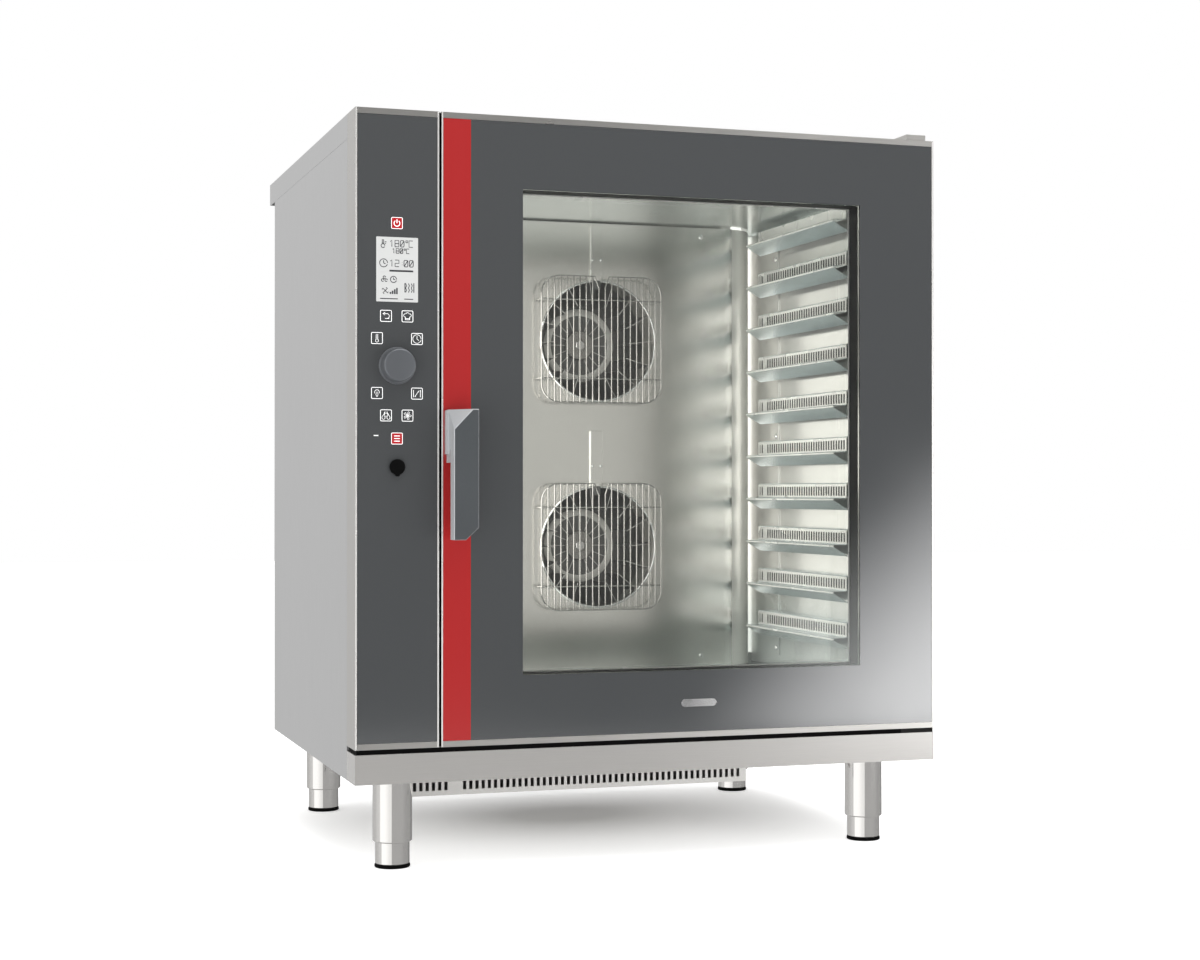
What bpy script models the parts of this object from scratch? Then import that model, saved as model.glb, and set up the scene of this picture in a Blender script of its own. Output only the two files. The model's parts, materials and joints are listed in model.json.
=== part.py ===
"""Combi steamer oven for ten trays, as an assembly of separate sub-parts.

Metres, +Z up. The front with the glass door faces -Y, and +X is to the right of someone who stands before it.
The origin is on the floor, under the middle of the whole oven. Places below are given as x from the oven's
left side, y from the front face of the door, and z from the floor; place() turns them into world coordinates.
"""

import math

import bmesh
import bpy
from mathutils import Matrix, Vector

# ---------------------------------------------------------------- driving dimensions
WIDTH = 0.985            # over the side panels
HEIGHT = 1.185           # floor to the top cover
FRONT_Y = -0.393         # world Y of the door's front face
GAP = 0.0003             # between pieces that touch
SHEET = 0.002            # thickness of the casing sheets

SIDE_FRONT = 0.0643      # front edge of the side panels, behind door and control housing
SIDE_REAR = 0.778
LID_REAR = 0.836         # the top cover overhangs the rear panel
LID_LOW = 1.146          # lower edge of its folded band
PLINTH_LOW = 0.1454
PLINTH_TOP = 0.1914
BODY_LOW = 0.199         # lower edge of door and control housing

LEG_X = 0.081            # of each leg's axis, from the side
LEG_Y = (0.104, 0.706)
LEG_RADIUS = 0.0315
FOOT_RADIUS = 0.0275
FOOT_TOP = 0.041         # where the foot goes up into its sleeve

HOUSING_RIGHT = 0.1323
DOOR_LEFT = 0.135
LIP = 0.0031             # bright upright edge of door and control housing
STRIP = 0.0092           # their top and bottom strip
GLASS = 0.0042           # thickness of the front glasses
WINDOW_X = (0.267, 0.849)
WINDOW_Z = (0.307, 1.071)
LINER_X = (0.19, 0.93)   # raised back of the door
LINER_Z = (0.235, 1.13)
LINER_REAR = 0.058
DOOR_REAR = 0.052
HINGE_X, HINGE_Y = 0.960, 0.026

CAVITY_X = (0.233, 0.903)
CAVITY_Y = (0.0725, 0.675)
CAVITY_Z = (0.262, 1.100)
INSULATION = 0.026
BAFFLE_Y = 0.535         # front face of the fan baffle
BAFFLE_X = (0.243, 0.893)
BAFFLE_Z = (0.264, 1.097)
BAFFLE_BEND = 0.074
FAN_X = 0.567
FAN_Z = {"upper": 0.877, "lower": 0.492}
INLET_RADIUS = 0.112
IMPELLER_RADIUS = 0.131
BLADES = 12
GUARD_SIZE = 0.237
GUARD_STANDS = 0.030     # in front of the baffle
GUARD_SLOTS = 10

RAILS = 10
RAIL_PITCH = 0.080
RAIL_TOP = 1.0627        # tray level of the highest rail
RAIL_Y = (0.1133, 0.5044)

HANDLE_X = (0.1434, 0.1825)
HANDLE_Z = (0.521, 0.722)
HANDLE_REACH = 0.050     # in front of the glass
PIVOT = (0.162, 0.685)   # x and z of the handle's spindle
KNOB = (0.0652, 0.789)
PROBE = (0.0652, 0.633)
CHIMNEY = (0.72, 0.60)   # x and y of the vent pipe's axis
CHIMNEY_TOP = 1.194
DRAIN_Z = 0.213          # axis of the drain pipe where it leaves at the rear
LAMP = (0.29, 0.27)      # x and y, in the cavity's ceiling
PROBE_BOSS = (0.80, 0.685)    # x and z of the temperature probe in the cavity's rear wall
GLAND = (0.08, 0.26)          # x and z in the rear panel
WATER_INLET = (0.09, 0.36)    # x and z in the rear panel
COOLING_FAN = (0.105, 0.41)   # x and y, over the base


# ---------------------------------------------------------------- modelling helpers
def clear_scene():
    for obj in list(bpy.data.objects):
        bpy.data.objects.remove(obj, do_unlink=True)


def new_collection(name):
    group = bpy.data.collections.new(name)
    bpy.context.scene.collection.children.link(group)
    return group


def finish(name, colour, roughness, metallic=0.0):
    """A Principled material."""
    material = bpy.data.materials.new(name)
    material.use_nodes = True
    shader = material.node_tree.nodes["Principled BSDF"]
    shader.inputs["Base Color"].default_value = (*colour, 1.0)
    shader.inputs["Roughness"].default_value = roughness
    shader.inputs["Metallic"].default_value = metallic
    return material


def place(x, y, z):
    return Vector((x - WIDTH / 2, y + FRONT_Y, z))


def add(name, mesh, material):
    """Links a mesh as a sub-part or, without a material, as a helper that is left out."""
    obj = bpy.data.objects.new(name, mesh)
    if material is None:
        HELPERS.objects.link(obj)
        obj.hide_render = True
        obj.display_type = "WIRE"
    else:
        OVEN.objects.link(obj)
        mesh.materials.append(material)
    return obj


def blocks(name, spans, material=None):
    """One mesh of boxes, each given as its x, y and z spans."""
    solid = bmesh.new()
    for x, y, z in spans:
        low, high = place(x[0], y[0], z[0]), place(x[1], y[1], z[1])
        size = Matrix.Diagonal((*(high - low), 1.0))
        bmesh.ops.create_cube(solid, size=1.0, matrix=Matrix.Translation((low + high) / 2) @ size)
    mesh = bpy.data.meshes.new(name)
    solid.to_mesh(mesh)
    solid.free()
    return add(name, mesh, material)


def block(name, x, y, z, material=None):
    return blocks(name, [(x, y, z)], material)


AXES = {
    "x": Matrix.Rotation(math.pi / 2, 4, "Y"),
    "y": Matrix.Rotation(-math.pi / 2, 4, "X"),
    "z": Matrix.Identity(4),
}


def rods(name, centres, axis, radius, span, material=None, sides=16):
    """One mesh of round rods along an axis. A centre is its two other coordinates, and span its two ends."""
    solid = bmesh.new()
    low, high = span
    middle = (low + high) / 2
    for first, second in centres:
        if axis == "x":
            centre = place(middle, first, second)
        elif axis == "y":
            centre = place(first, middle, second)
        else:
            centre = place(first, second, middle)
        bmesh.ops.create_cone(
            solid, cap_ends=True, segments=sides, radius1=radius, radius2=radius, depth=high - low,
            matrix=Matrix.Translation(centre) @ AXES[axis],
        )
    mesh = bpy.data.meshes.new(name)
    solid.to_mesh(mesh)
    solid.free()
    return add(name, mesh, material)


def rod(name, centre, axis, radius, span, material=None, sides=16):
    return rods(name, [centre], axis, radius, span, material, sides)


def turned(name, base, axis, profile, material=None, steps=20):
    """A turned solid: profile holds (radius, distance along the axis), from the far end down the outside."""
    mesh = bpy.data.meshes.new(name)
    points = [(radius, 0.0, along) for radius, along in profile]
    mesh.from_pydata(points, [(i, i + 1) for i in range(len(points) - 1)], [])
    obj = add(name, mesh, material)
    screw = obj.modifiers.new("turn", "SCREW")
    screw.steps = screw.render_steps = steps
    screw.use_merge_vertices = True
    screw.merge_threshold = 0.00001
    obj.matrix_world = Matrix.Translation(place(*base)) @ AXES[axis]
    return obj


def to_mesh(curve_obj, material):
    """Makes a mesh sub-part or helper out of a curve object, with its caps welded."""
    bpy.context.view_layer.update()
    evaluated = curve_obj.evaluated_get(bpy.context.evaluated_depsgraph_get())
    mesh = bpy.data.meshes.new_from_object(evaluated)
    solid = bmesh.new()
    solid.from_mesh(mesh)
    bmesh.ops.remove_doubles(solid, verts=solid.verts, dist=0.00001)
    bmesh.ops.recalc_face_normals(solid, faces=solid.faces)
    solid.to_mesh(mesh)
    solid.free()
    mesh.materials.clear()
    name, matrix = curve_obj.name, curve_obj.matrix_world.copy()
    bpy.data.objects.remove(curve_obj, do_unlink=True)
    obj = add(name, mesh, material)
    obj.name = name
    obj.matrix_world = matrix
    return obj


def outlines(name, loops, axis, span, material=None):
    """Flat outlines of (across, up) points, extruded along an axis between the two ends of span."""
    curve = bpy.data.curves.new(name, "CURVE")
    curve.dimensions = "2D"
    curve.fill_mode = "BOTH"
    curve.extrude = (span[1] - span[0]) / 2
    for loop in loops:
        spline = curve.splines.new("POLY")
        spline.points.add(len(loop) - 1)
        for point, (across, up) in zip(spline.points, loop):
            point.co = (across, up, 0.0, 1.0)
        spline.use_cyclic_u = True
    obj = bpy.data.objects.new(name, curve)
    HELPERS.objects.link(obj)
    middle = (span[0] + span[1]) / 2
    if axis == "y":
        obj.matrix_world = Matrix.Translation(place(0, middle, 0)) @ Matrix.Rotation(math.pi / 2, 4, "X")
    elif axis == "x":
        turn = Matrix.Rotation(math.pi / 2, 4, "Z") @ Matrix.Rotation(math.pi / 2, 4, "X")
        obj.matrix_world = Matrix.Translation(place(middle, 0, 0)) @ turn
    else:
        obj.matrix_world = Matrix.Translation(place(0, 0, middle))
    return to_mesh(obj, material)


def tube(name, points, radius, material, roundness=1):
    """A round tube along points, with closed ends."""
    curve = bpy.data.curves.new(name, "CURVE")
    curve.dimensions = "3D"
    curve.bevel_depth = radius
    curve.bevel_resolution = roundness
    curve.use_fill_caps = True
    spline = curve.splines.new("POLY")
    spline.points.add(len(points) - 1)
    for knot, (x, y, z) in zip(spline.points, points):
        knot.co = (*place(x, y, z), 1.0)
    obj = bpy.data.objects.new(name, curve)
    HELPERS.objects.link(obj)
    return to_mesh(obj, material)


def combine(obj, operation, *others):
    for other in others:
        modifier = obj.modifiers.new(other.name, "BOOLEAN")
        modifier.operation = operation
        modifier.solver = "EXACT"
        modifier.object = other
    return obj


def cut(obj, *cutters):
    return combine(obj, "DIFFERENCE", *cutters)


def fuse(obj, *others):
    return combine(obj, "UNION", *others)


def bevel(obj, width, segments=2):
    modifier = obj.modifiers.new("edges", "BEVEL")
    modifier.width = width
    modifier.segments = segments
    modifier.limit_method = "ANGLE"
    modifier.angle_limit = math.radians(40)
    return obj


def arc(centre, radius, start, end, steps):
    """Points on an arc, angles in degrees."""
    for i in range(steps + 1):
        angle = math.radians(start + (end - start) * i / steps)
        yield centre[0] + radius * math.cos(angle), centre[1] + radius * math.sin(angle)


def pivot_at(obj, x, y, z):
    """Moves an object's origin to its joint's axis, and leaves its shape where it is. Its modifiers are applied."""
    bpy.context.view_layer.update()
    evaluated = obj.evaluated_get(bpy.context.evaluated_depsgraph_get())
    obj.data = bpy.data.meshes.new_from_object(evaluated)
    obj.modifiers.clear()
    origin = obj.matrix_world.inverted() @ place(x, y, z)
    obj.data.transform(Matrix.Translation(-origin))
    obj.matrix_world = obj.matrix_world @ Matrix.Translation(origin)
    return obj


def mirrored(span):
    """A span of x on the other side of the oven."""
    return WIDTH - span[1], WIDTH - span[0]


def grown(span, by):
    return span[0] - by, span[1] + by


# ---------------------------------------------------------------- legs and base
def make_leg(name, x, y):
    sleeve = turned(
        f"leg_sleeve_{name}", (x, y, 0), "z",
        [(0.0, PLINTH_LOW - GAP), (LEG_RADIUS, PLINTH_LOW - GAP), (LEG_RADIUS, FOOT_TOP + GAP + 0.001),
         (LEG_RADIUS - 0.001, FOOT_TOP + GAP), (0.0105, FOOT_TOP + GAP), (0.0105, 0.125), (0.0, 0.125)],
        STEEL,
    )
    foot = turned(
        f"foot_{name}", (x, y, 0), "z",
        [(0.0, 0.100), (0.010, 0.100), (0.010, FOOT_TOP), (FOOT_RADIUS, FOOT_TOP), (FOOT_RADIUS, 0.009),
         (0.0255, 0.006), (0.0285, 0.0055), (0.0285, 0.001), (0.0275, 0.0), (0.0, 0.0)],
        STEEL,
    )
    return sleeve, foot


def make_base():
    inner = 2 * GAP + SHEET
    low, top = (PLINTH_LOW, PLINTH_TOP)
    frame = block("base_frame", (0, WIDTH), (0, SIDE_FRONT - GAP), (low, top), STEEL)
    rear = block("base_rear", (inner, WIDTH - inner), (0.03, SIDE_REAR - inner), (low, top))
    hollow = block("base_hollow", (0.005, WIDTH - 0.005), (SHEET, SIDE_REAR - 0.005), (low + SHEET, top - SHEET))
    opening = block("base_opening", (0.20, 0.70), (0.25, 0.50), (low - 0.01, low + 0.01))
    intake = rod("base_intake", COOLING_FAN, "z", 0.05, (top - 0.01, top + 0.01))
    cut(fuse(frame, rear), hollow, opening, intake)

    box = block("underside_vent_box", (0.115, 0.715), (0.17, 0.55), (0.098, low - GAP), STEEL)
    cut(box, block("vent_box_hollow", (0.117, 0.713), (0.172, 0.548), (0.100, low)))


# ---------------------------------------------------------------- casing
def make_side_panel(name, flip):
    side = mirrored if flip else (lambda span: span)
    panel = block(name, side((0, 0.022)), (SIDE_FRONT, SIDE_REAR), (PLINTH_LOW, LID_LOW - GAP), STEEL)
    channel = block(name + "_channel", side((SHEET, 0.03)), (SIDE_FRONT + SHEET, SIDE_REAR - SHEET), (0.1, 1.2))
    notch = block(name + "_notch", side((SHEET, 0.03)), (0.05, 0.8), (0.1, PLINTH_TOP + GAP))
    return cut(panel, channel, notch)


def make_casing():
    make_side_panel("side_panel_left", False)
    make_side_panel("side_panel_right", True)

    rear = block(
        "rear_panel", (0.0223, WIDTH - 0.0223), (SIDE_REAR - SHEET, SIDE_REAR),
        (PLINTH_TOP + GAP, LID_LOW - GAP), STEEL,
    )
    louvres = [
        ((x, x + 0.09), (0.7, 0.8), (z, z + 0.006))
        for x in (0.05, 0.52, 0.64)
        for z in [0.98 + 0.022 * i for i in range(5)]
    ]
    cut(
        rear,
        blocks("rear_louvres", louvres),
        rod("rear_drain_hole", (FAN_X, DRAIN_Z), "y", 0.018, (0.7, 0.8)),
        rod("rear_gland_hole", GLAND, "y", 0.0125, (0.7, 0.8)),
        rod("rear_water_hole", WATER_INLET, "y", 0.0115, (0.7, 0.8)),
    )

    lid = block("top_cover", (0, WIDTH), (SIDE_FRONT, LID_REAR), (LID_LOW, HEIGHT), STEEL)
    cut(
        lid,
        block("top_cover_hollow", (SHEET, WIDTH - SHEET), (SIDE_FRONT + SHEET, LID_REAR - SHEET),
              (LID_LOW - 0.01, HEIGHT - SHEET)),
        rod("top_cover_hole", CHIMNEY, "z", 0.0265, (1.1, 1.2)),
    )


# ---------------------------------------------------------------- oven cavity
def make_cavity():
    wall = SHEET
    shell = block(
        "cavity_shell", grown(CAVITY_X, wall), (CAVITY_Y[0], CAVITY_Y[1] + wall), grown(CAVITY_Z, wall), POLISHED,
    )
    front = block(
        "cavity_front_frame", (DOOR_LEFT, WIDTH - SHEET - GAP), (CAVITY_Y[0], CAVITY_Y[0] + wall),
        (PLINTH_TOP + GAP, HEIGHT - 0.005),
    )
    cut(
        fuse(shell, front),
        block("cavity_space", CAVITY_X, (CAVITY_Y[0] - 0.01, CAVITY_Y[1]), CAVITY_Z),
        rods("cavity_shaft_holes", [(FAN_X, z) for z in FAN_Z.values()], "y", 0.013, (0.6, 0.7)),
        rod("cavity_drain_hole", (FAN_X, 0.30), "z", 0.018, (0.25, 0.27)),
        rod("cavity_vent_hole", CHIMNEY, "z", 0.022, (1.09, 1.12)),
        rod("cavity_lamp_hole", LAMP, "z", 0.0225, (1.09, 1.12)),
        rods("cavity_heater_holes", heater_ends(), "y", 0.007, (0.66, 0.69), sides=16),
        rod("cavity_probe_hole", PROBE_BOSS, "y", 0.005, (0.66, 0.69), sides=16),
    )

    outside = [grown(CAVITY_X, INSULATION), (0.0755, CAVITY_Y[1] + INSULATION), grown(CAVITY_Z, INSULATION)]
    wrap = block("insulation_wrap", *outside, WOOL)
    inside = wall + GAP
    cut(
        wrap,
        block("wrap_space", grown(CAVITY_X, inside), (0.05, CAVITY_Y[1] + inside), grown(CAVITY_Z, inside)),
        rods("wrap_shaft_holes", [(FAN_X, z) for z in FAN_Z.values()], "y", 0.03, (0.6, 0.8)),
        rod("wrap_drain_hole", (FAN_X, 0.30), "z", 0.024, (0.2, 0.3)),
        rod("wrap_vent_hole", CHIMNEY, "z", 0.0275, (1.08, 1.15)),
        rod("wrap_lamp_hole", LAMP, "z", 0.027, (1.08, 1.15)),
        rods("wrap_heater_holes", heater_ends(), "y", 0.009, (0.66, 0.8), sides=16),
        rod("wrap_probe_hole", PROBE_BOSS, "y", 0.013, (0.66, 0.8), sides=16),
    )

    gasket = block("door_gasket", (0.213, 0.923), (LINER_REAR + GAP, CAVITY_Y[0] - GAP), (0.242, 1.120), RUBBER)
    hole = block("gasket_hole", (0.225, 0.911), (0.04, 0.09), (0.254, 1.108))
    cut(bevel(gasket, 0.004), hole)


def make_rack(name, flip):
    """Ten folded tray rails on two flat straps that lie on the cavity's side wall."""
    wall = CAVITY_X[1] - GAP
    # The rail's section: distance from the wall, height over the tray level.
    section = [
        (0.0008, 0.028), (0.026, 0.028), (0.026, 0.002), (0.0515, 0.002), (0.0515, 0.0007), (0.0215, -0.0195),
        (0.0203, -0.0178), (0.0478, 0.0), (0.024, 0.0), (0.024, 0.026), (0.0008, 0.026),
    ]
    side = -1 if flip else 1
    middle = sum(CAVITY_X) / 2
    loops = [
        [(middle + side * (wall - away - middle), RAIL_TOP - i * RAIL_PITCH + up) for away, up in section]
        for i in range(RAILS)
    ]
    rack = outlines(name, loops, "y", RAIL_Y, STEEL)
    strap = sorted((middle + side * (wall - middle), middle + side * (wall - 0.0022 - middle)))
    uprights = [(strap, (y, y + 0.024), (0.285, 1.093)) for y in (0.13, 0.462)]
    return fuse(rack, blocks(name + "_uprights", uprights))


def make_baffle():
    """The sheet in front of the fans, with a quarter-round bend at each side."""
    left, right = BAFFLE_X
    front, rear, radius = BAFFLE_Y, 0.625, BAFFLE_BEND
    outer = [(left, rear), *arc((left + radius, front + radius), radius, 180, 270, 8)]
    outer += [*arc((right - radius, front + radius), radius, 270, 360, 8), (right, rear)]
    thin = radius - SHEET
    inner = [(right - SHEET, rear), *arc((right - radius, front + radius), thin, 360, 270, 8)]
    inner += [*arc((left + radius, front + radius), thin, 270, 180, 8), (left + SHEET, rear)]
    baffle = outlines("fan_baffle", [outer + inner], "z", BAFFLE_Z, POLISHED)
    inlets = rods("baffle_inlets", [(FAN_X, z) for z in FAN_Z.values()], "y", INLET_RADIUS, (0.5, 0.56), sides=32)
    cut(baffle, inlets)


def make_guard(level):
    """The wire guard before an inlet: upright bars in a square frame, on four short stays."""
    z = FAN_Z[level] + 0.001
    x = FAN_X - 0.002
    half = GUARD_SIZE / 2
    front = BAFFLE_Y - GUARD_STANDS
    guard = block(f"fan_guard_{level}", (x - half, x + half), (front, front + 0.004), (z - half, z + half), STEEL)
    bar = 0.005
    pitch = (GUARD_SIZE - 0.012 + bar) / GUARD_SLOTS
    start = x - half + 0.006
    slots = [
        ((start + i * pitch, start + (i + 1) * pitch - bar), (0.49, 0.52), (z - half + 0.006, z + half - 0.006))
        for i in range(GUARD_SLOTS)
    ]
    cut(guard, blocks(f"guard_slots_{level}", slots))
    stays = rods(
        f"guard_stays_{level}",
        [(x + i * (half - 0.003), z + j * (half - 0.045)) for i in (-1, 1) for j in (-1, 1)],
        "y", 0.0028, (front + 0.002, BAFFLE_Y - GAP), sides=8,
    )
    cross = blocks(
        f"guard_cross_{level}",
        [((x - half + 0.001, x + half - 0.001), (front + 0.0005, front + 0.0035), (z + j - 0.002, z + j + 0.002))
         for j in (-(half - 0.045), half - 0.045)],
    )
    fuse(guard, cross, stays)


def heater_ends():
    """x and z of the ends of both heating elements."""
    return [(FAN_X - 0.157, z + side * 0.022) for z in FAN_Z.values() for side in (-1, 1)]


def make_heater(level):
    """A tubular element: one ring around the impeller, its two ends through the rear wall."""
    z = FAN_Z[level]
    reach = 0.157
    gap = math.degrees(math.asin(0.022 / reach))
    ring = [(FAN_X + across, z + up) for across, up in arc((0, 0), reach, 180 - gap, -180 + gap, 24)]
    ring[0] = (FAN_X - reach, z + 0.022)
    ring[-1] = (FAN_X - reach, z - 0.022)
    points = [(ring[0][0], 0.690, ring[0][1]), (ring[0][0], 0.612, ring[0][1]), (ring[0][0], 0.604, ring[0][1])]
    points += [(x, 0.600, up) for x, up in ring[1:-1]]
    points += [(ring[-1][0], 0.604, ring[-1][1]), (ring[-1][0], 0.612, ring[-1][1]), (ring[-1][0], 0.690, ring[-1][1])]
    tube(f"heater_{level}", points, 0.0042, ELEMENT)


def make_fan(level):
    """Impeller with its hub and shaft, and the motor behind the cavity that drives it."""
    z = FAN_Z[level]
    back = 0.660
    wheel = turned(
        f"impeller_{level}", (FAN_X, back, z), "y",
        [(0.0, 0.0422), (0.006, 0.0422), (0.006, 0.006), (0.028, 0.006), (0.028, 0.003), (IMPELLER_RADIUS, 0.003),
         (IMPELLER_RADIUS, 0.0), (0.030, 0.0), (0.026, -0.008), (0.008, -0.010), (0.0, -0.010)],
        POLISHED, steps=24,
    )
    blades = bmesh.new()
    for i in range(BLADES):
        angle = 2 * math.pi * i / BLADES
        size = Matrix.Diagonal((0.050, 0.090, 0.0018, 1.0))
        tilt = Matrix.Rotation(math.radians(24), 4, "Y")
        spoke = Matrix.Translation((0.1035, -0.0445, 0.0)) @ tilt @ size
        about = Matrix.Translation(place(FAN_X, back, z)) @ Matrix.Rotation(angle, 4, "Y")
        bmesh.ops.create_cube(blades, size=1.0, matrix=about @ spoke)
    mesh = bpy.data.meshes.new(f"impeller_blades_{level}")
    blades.to_mesh(mesh)
    blades.free()
    blade_set = add(mesh.name, mesh, None)
    rim_depth = (back - 0.0885, back - 0.0855)
    rim = rod(f"impeller_rim_{level}", (FAN_X, z), "y", IMPELLER_RADIUS, rim_depth, sides=16)
    cut(rim, rod(f"impeller_eye_{level}", (FAN_X, z), "y", 0.098, grown(rim_depth, 0.01), sides=16))
    blade_set.modifiers.new("weld", "WELD").merge_threshold = 0.00001
    fuse(wheel, blade_set, rim)

    turned(
        f"fan_motor_{level}", (FAN_X, 0.7025, z), "y",
        [(0.0, 0.068), (0.050, 0.068), (0.055, 0.062), (0.055, 0.006), (0.075, 0.006), (0.075, 0.0), (0.0, 0.0)],
        MOTOR,
    )


def make_spray_channel(level):
    """The water channel above a fan, a folded strip on the baffle that ends over the inlet."""
    z = FAN_Z[level] + 0.107
    strip = block(
        f"spray_channel_{level}", (0.550, 0.574), (BAFFLE_Y - 0.0042, BAFFLE_Y - GAP), (z + 0.006, z + 0.110), STEEL,
    )
    bevel(strip, 0.0012, 1)


def make_cavity_fittings():
    # The lamp sits in the ceiling near the left rack.
    turned(
        "lamp_housing", (*LAMP, CAVITY_Z[1]), "z",
        [(0.0, 0.040), (0.016, 0.040), (0.0215, 0.034), (0.0215, -GAP), (0.028, -GAP), (0.028, -0.004),
         (0.024, -0.007), (0.0, -0.007)],
        LENS,
    )
    turned(
        "cavity_probe", (PROBE_BOSS[0], 0.62, PROBE_BOSS[1]), "y",
        [(0.0, 0.100), (0.004, 0.100), (0.004, 0.085), (0.011, 0.085), (0.011, 0.0575), (0.003, 0.0575),
         (0.003, 0.003), (0.0, 0.0)],
        STEEL, steps=16,
    )
    # Drain: down from the floor, then back through the rear panel.
    bend = [(FAN_X, y, z) for y, z in arc((0.318, DRAIN_Z + 0.018), 0.018, 180, 270, 6)]
    tube("drain_pipe", [(FAN_X, 0.30, CAVITY_Z[0] - 0.0025), *bend, (FAN_X, 0.82, DRAIN_Z)], 0.0165, PLASTIC_GREY, 2)

    chimney = turned(
        "vent_chimney", (*CHIMNEY, 0), "z",
        [(0.023, CHIMNEY_TOP), (0.025, CHIMNEY_TOP), (0.025, CAVITY_Z[1] + SHEET + GAP),
         (0.023, CAVITY_Z[1] + SHEET + GAP), (0.023, CHIMNEY_TOP)],
        STEEL,
    )
    cut(chimney, rod("chimney_axle_holes", (CHIMNEY[1], 1.155), "x", 0.0032, (0.68, 0.76), sides=16))
    flap = rod("vent_flap", CHIMNEY, "z", 0.0222, (1.1542, 1.1558), STEEL, sides=20)
    axle = rod("vent_flap_axle", (CHIMNEY[1], 1.155), "x", 0.0027, (CHIMNEY[0] - 0.027, CHIMNEY[0] + 0.0297), sides=16)
    fuse(flap, axle)
    pivot_at(flap, *CHIMNEY, 1.155)
    block("vent_actuator", (0.75, 0.80), (0.58, 0.62), (CAVITY_Z[1] + INSULATION + GAP, 1.172), PLASTIC_DARK)


# ---------------------------------------------------------------- controls
def make_controls():
    housing = block("control_housing", (0, HOUSING_RIGHT), (0, SIDE_FRONT - GAP), (BODY_LOW, HEIGHT), STEEL)
    cut(
        housing,
        block("housing_space", (LIP, HOUSING_RIGHT - LIP), (-0.01, 0.08), (BODY_LOW + STRIP, HEIGHT - STRIP)),
    )
    glass = block(
        "control_glass", (LIP + GAP, HOUSING_RIGHT - LIP - GAP), (GAP, GAP + GLASS),
        (BODY_LOW + STRIP + GAP, HEIGHT - STRIP - GAP), GLASS_DARK,
    )
    cut(
        glass,
        rod("glass_knob_hole", KNOB, "y", 0.0065, (-0.01, 0.02), sides=16),
        rod("glass_probe_hole", PROBE, "y", 0.0094, (-0.01, 0.02), sides=16),
    )
    back = GAP + GLASS + GAP
    block("display_module", (0.0305, 0.1003), (back, back + 0.009), (0.8855, 0.9885), PLASTIC_DARK)
    board = back + 0.0115
    circuit = block("control_board", (0.014, 0.118), (board, board + 0.0018), (0.66, 1.04), CIRCUIT)
    cut(circuit, rod("board_encoder_hole", KNOB, "y", 0.0068, (0, 0.05), sides=16))
    encoder = block("knob_encoder", (KNOB[0] - 0.0065, KNOB[0] + 0.0065), (back, board - GAP),
                    (KNOB[1] - 0.0065, KNOB[1] + 0.0065), PLASTIC_DARK)
    fuse(encoder, rod("encoder_shaft", KNOB, "y", 0.003, (-0.012, back + 0.002), sides=16))

    knob = turned(
        "control_knob", (KNOB[0], 0, KNOB[1]), "y",
        [(0.0, -GAP), (0.0287, -GAP), (0.0287, -0.0025), (0.0262, -0.0042), (0.0262, -0.0065),
         (0.0258, -0.016), (0.0245, -0.0222), (0.0225, -0.0240), (0.0, -0.0240)],
        KNOB_METAL, steps=24,
    )
    cut(knob, rod("knob_bore", KNOB, "y", 0.0034, (-0.0125, 0.01), sides=16))

    turned(
        "probe_socket", (PROBE[0], 0, PROBE[1]), "y",
        [(0.0, 0.032), (0.0075, 0.032), (0.009, 0.028), (0.009, -GAP), (0.0118, -GAP), (0.0118, -0.0022),
         (0.0052, -0.0022), (0.0052, 0.018), (0.0, 0.018)],
        PLASTIC_DARK, steps=16,
    )
    cap = turned(
        "probe_cap", (PROBE[0], 0, PROBE[1]), "y",
        [(0.0, 0.0005), (0.0038, 0.0005), (0.0038, -0.0025), (0.0122, -0.0025), (0.0122, -0.0052), (0.0112, -0.0062),
         (0.0, -0.0062)],
        RUBBER, steps=16,
    )
    tab = block("cap_tab", (PROBE[0] - 0.0035, PROBE[0] + 0.0035), (-0.0055, -0.0028), (PROBE[1] - 0.0145, PROBE[1]))
    fuse(cap, tab)
    pivot_at(cap, PROBE[0], -0.004, PROBE[1] + 0.0122)


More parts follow.
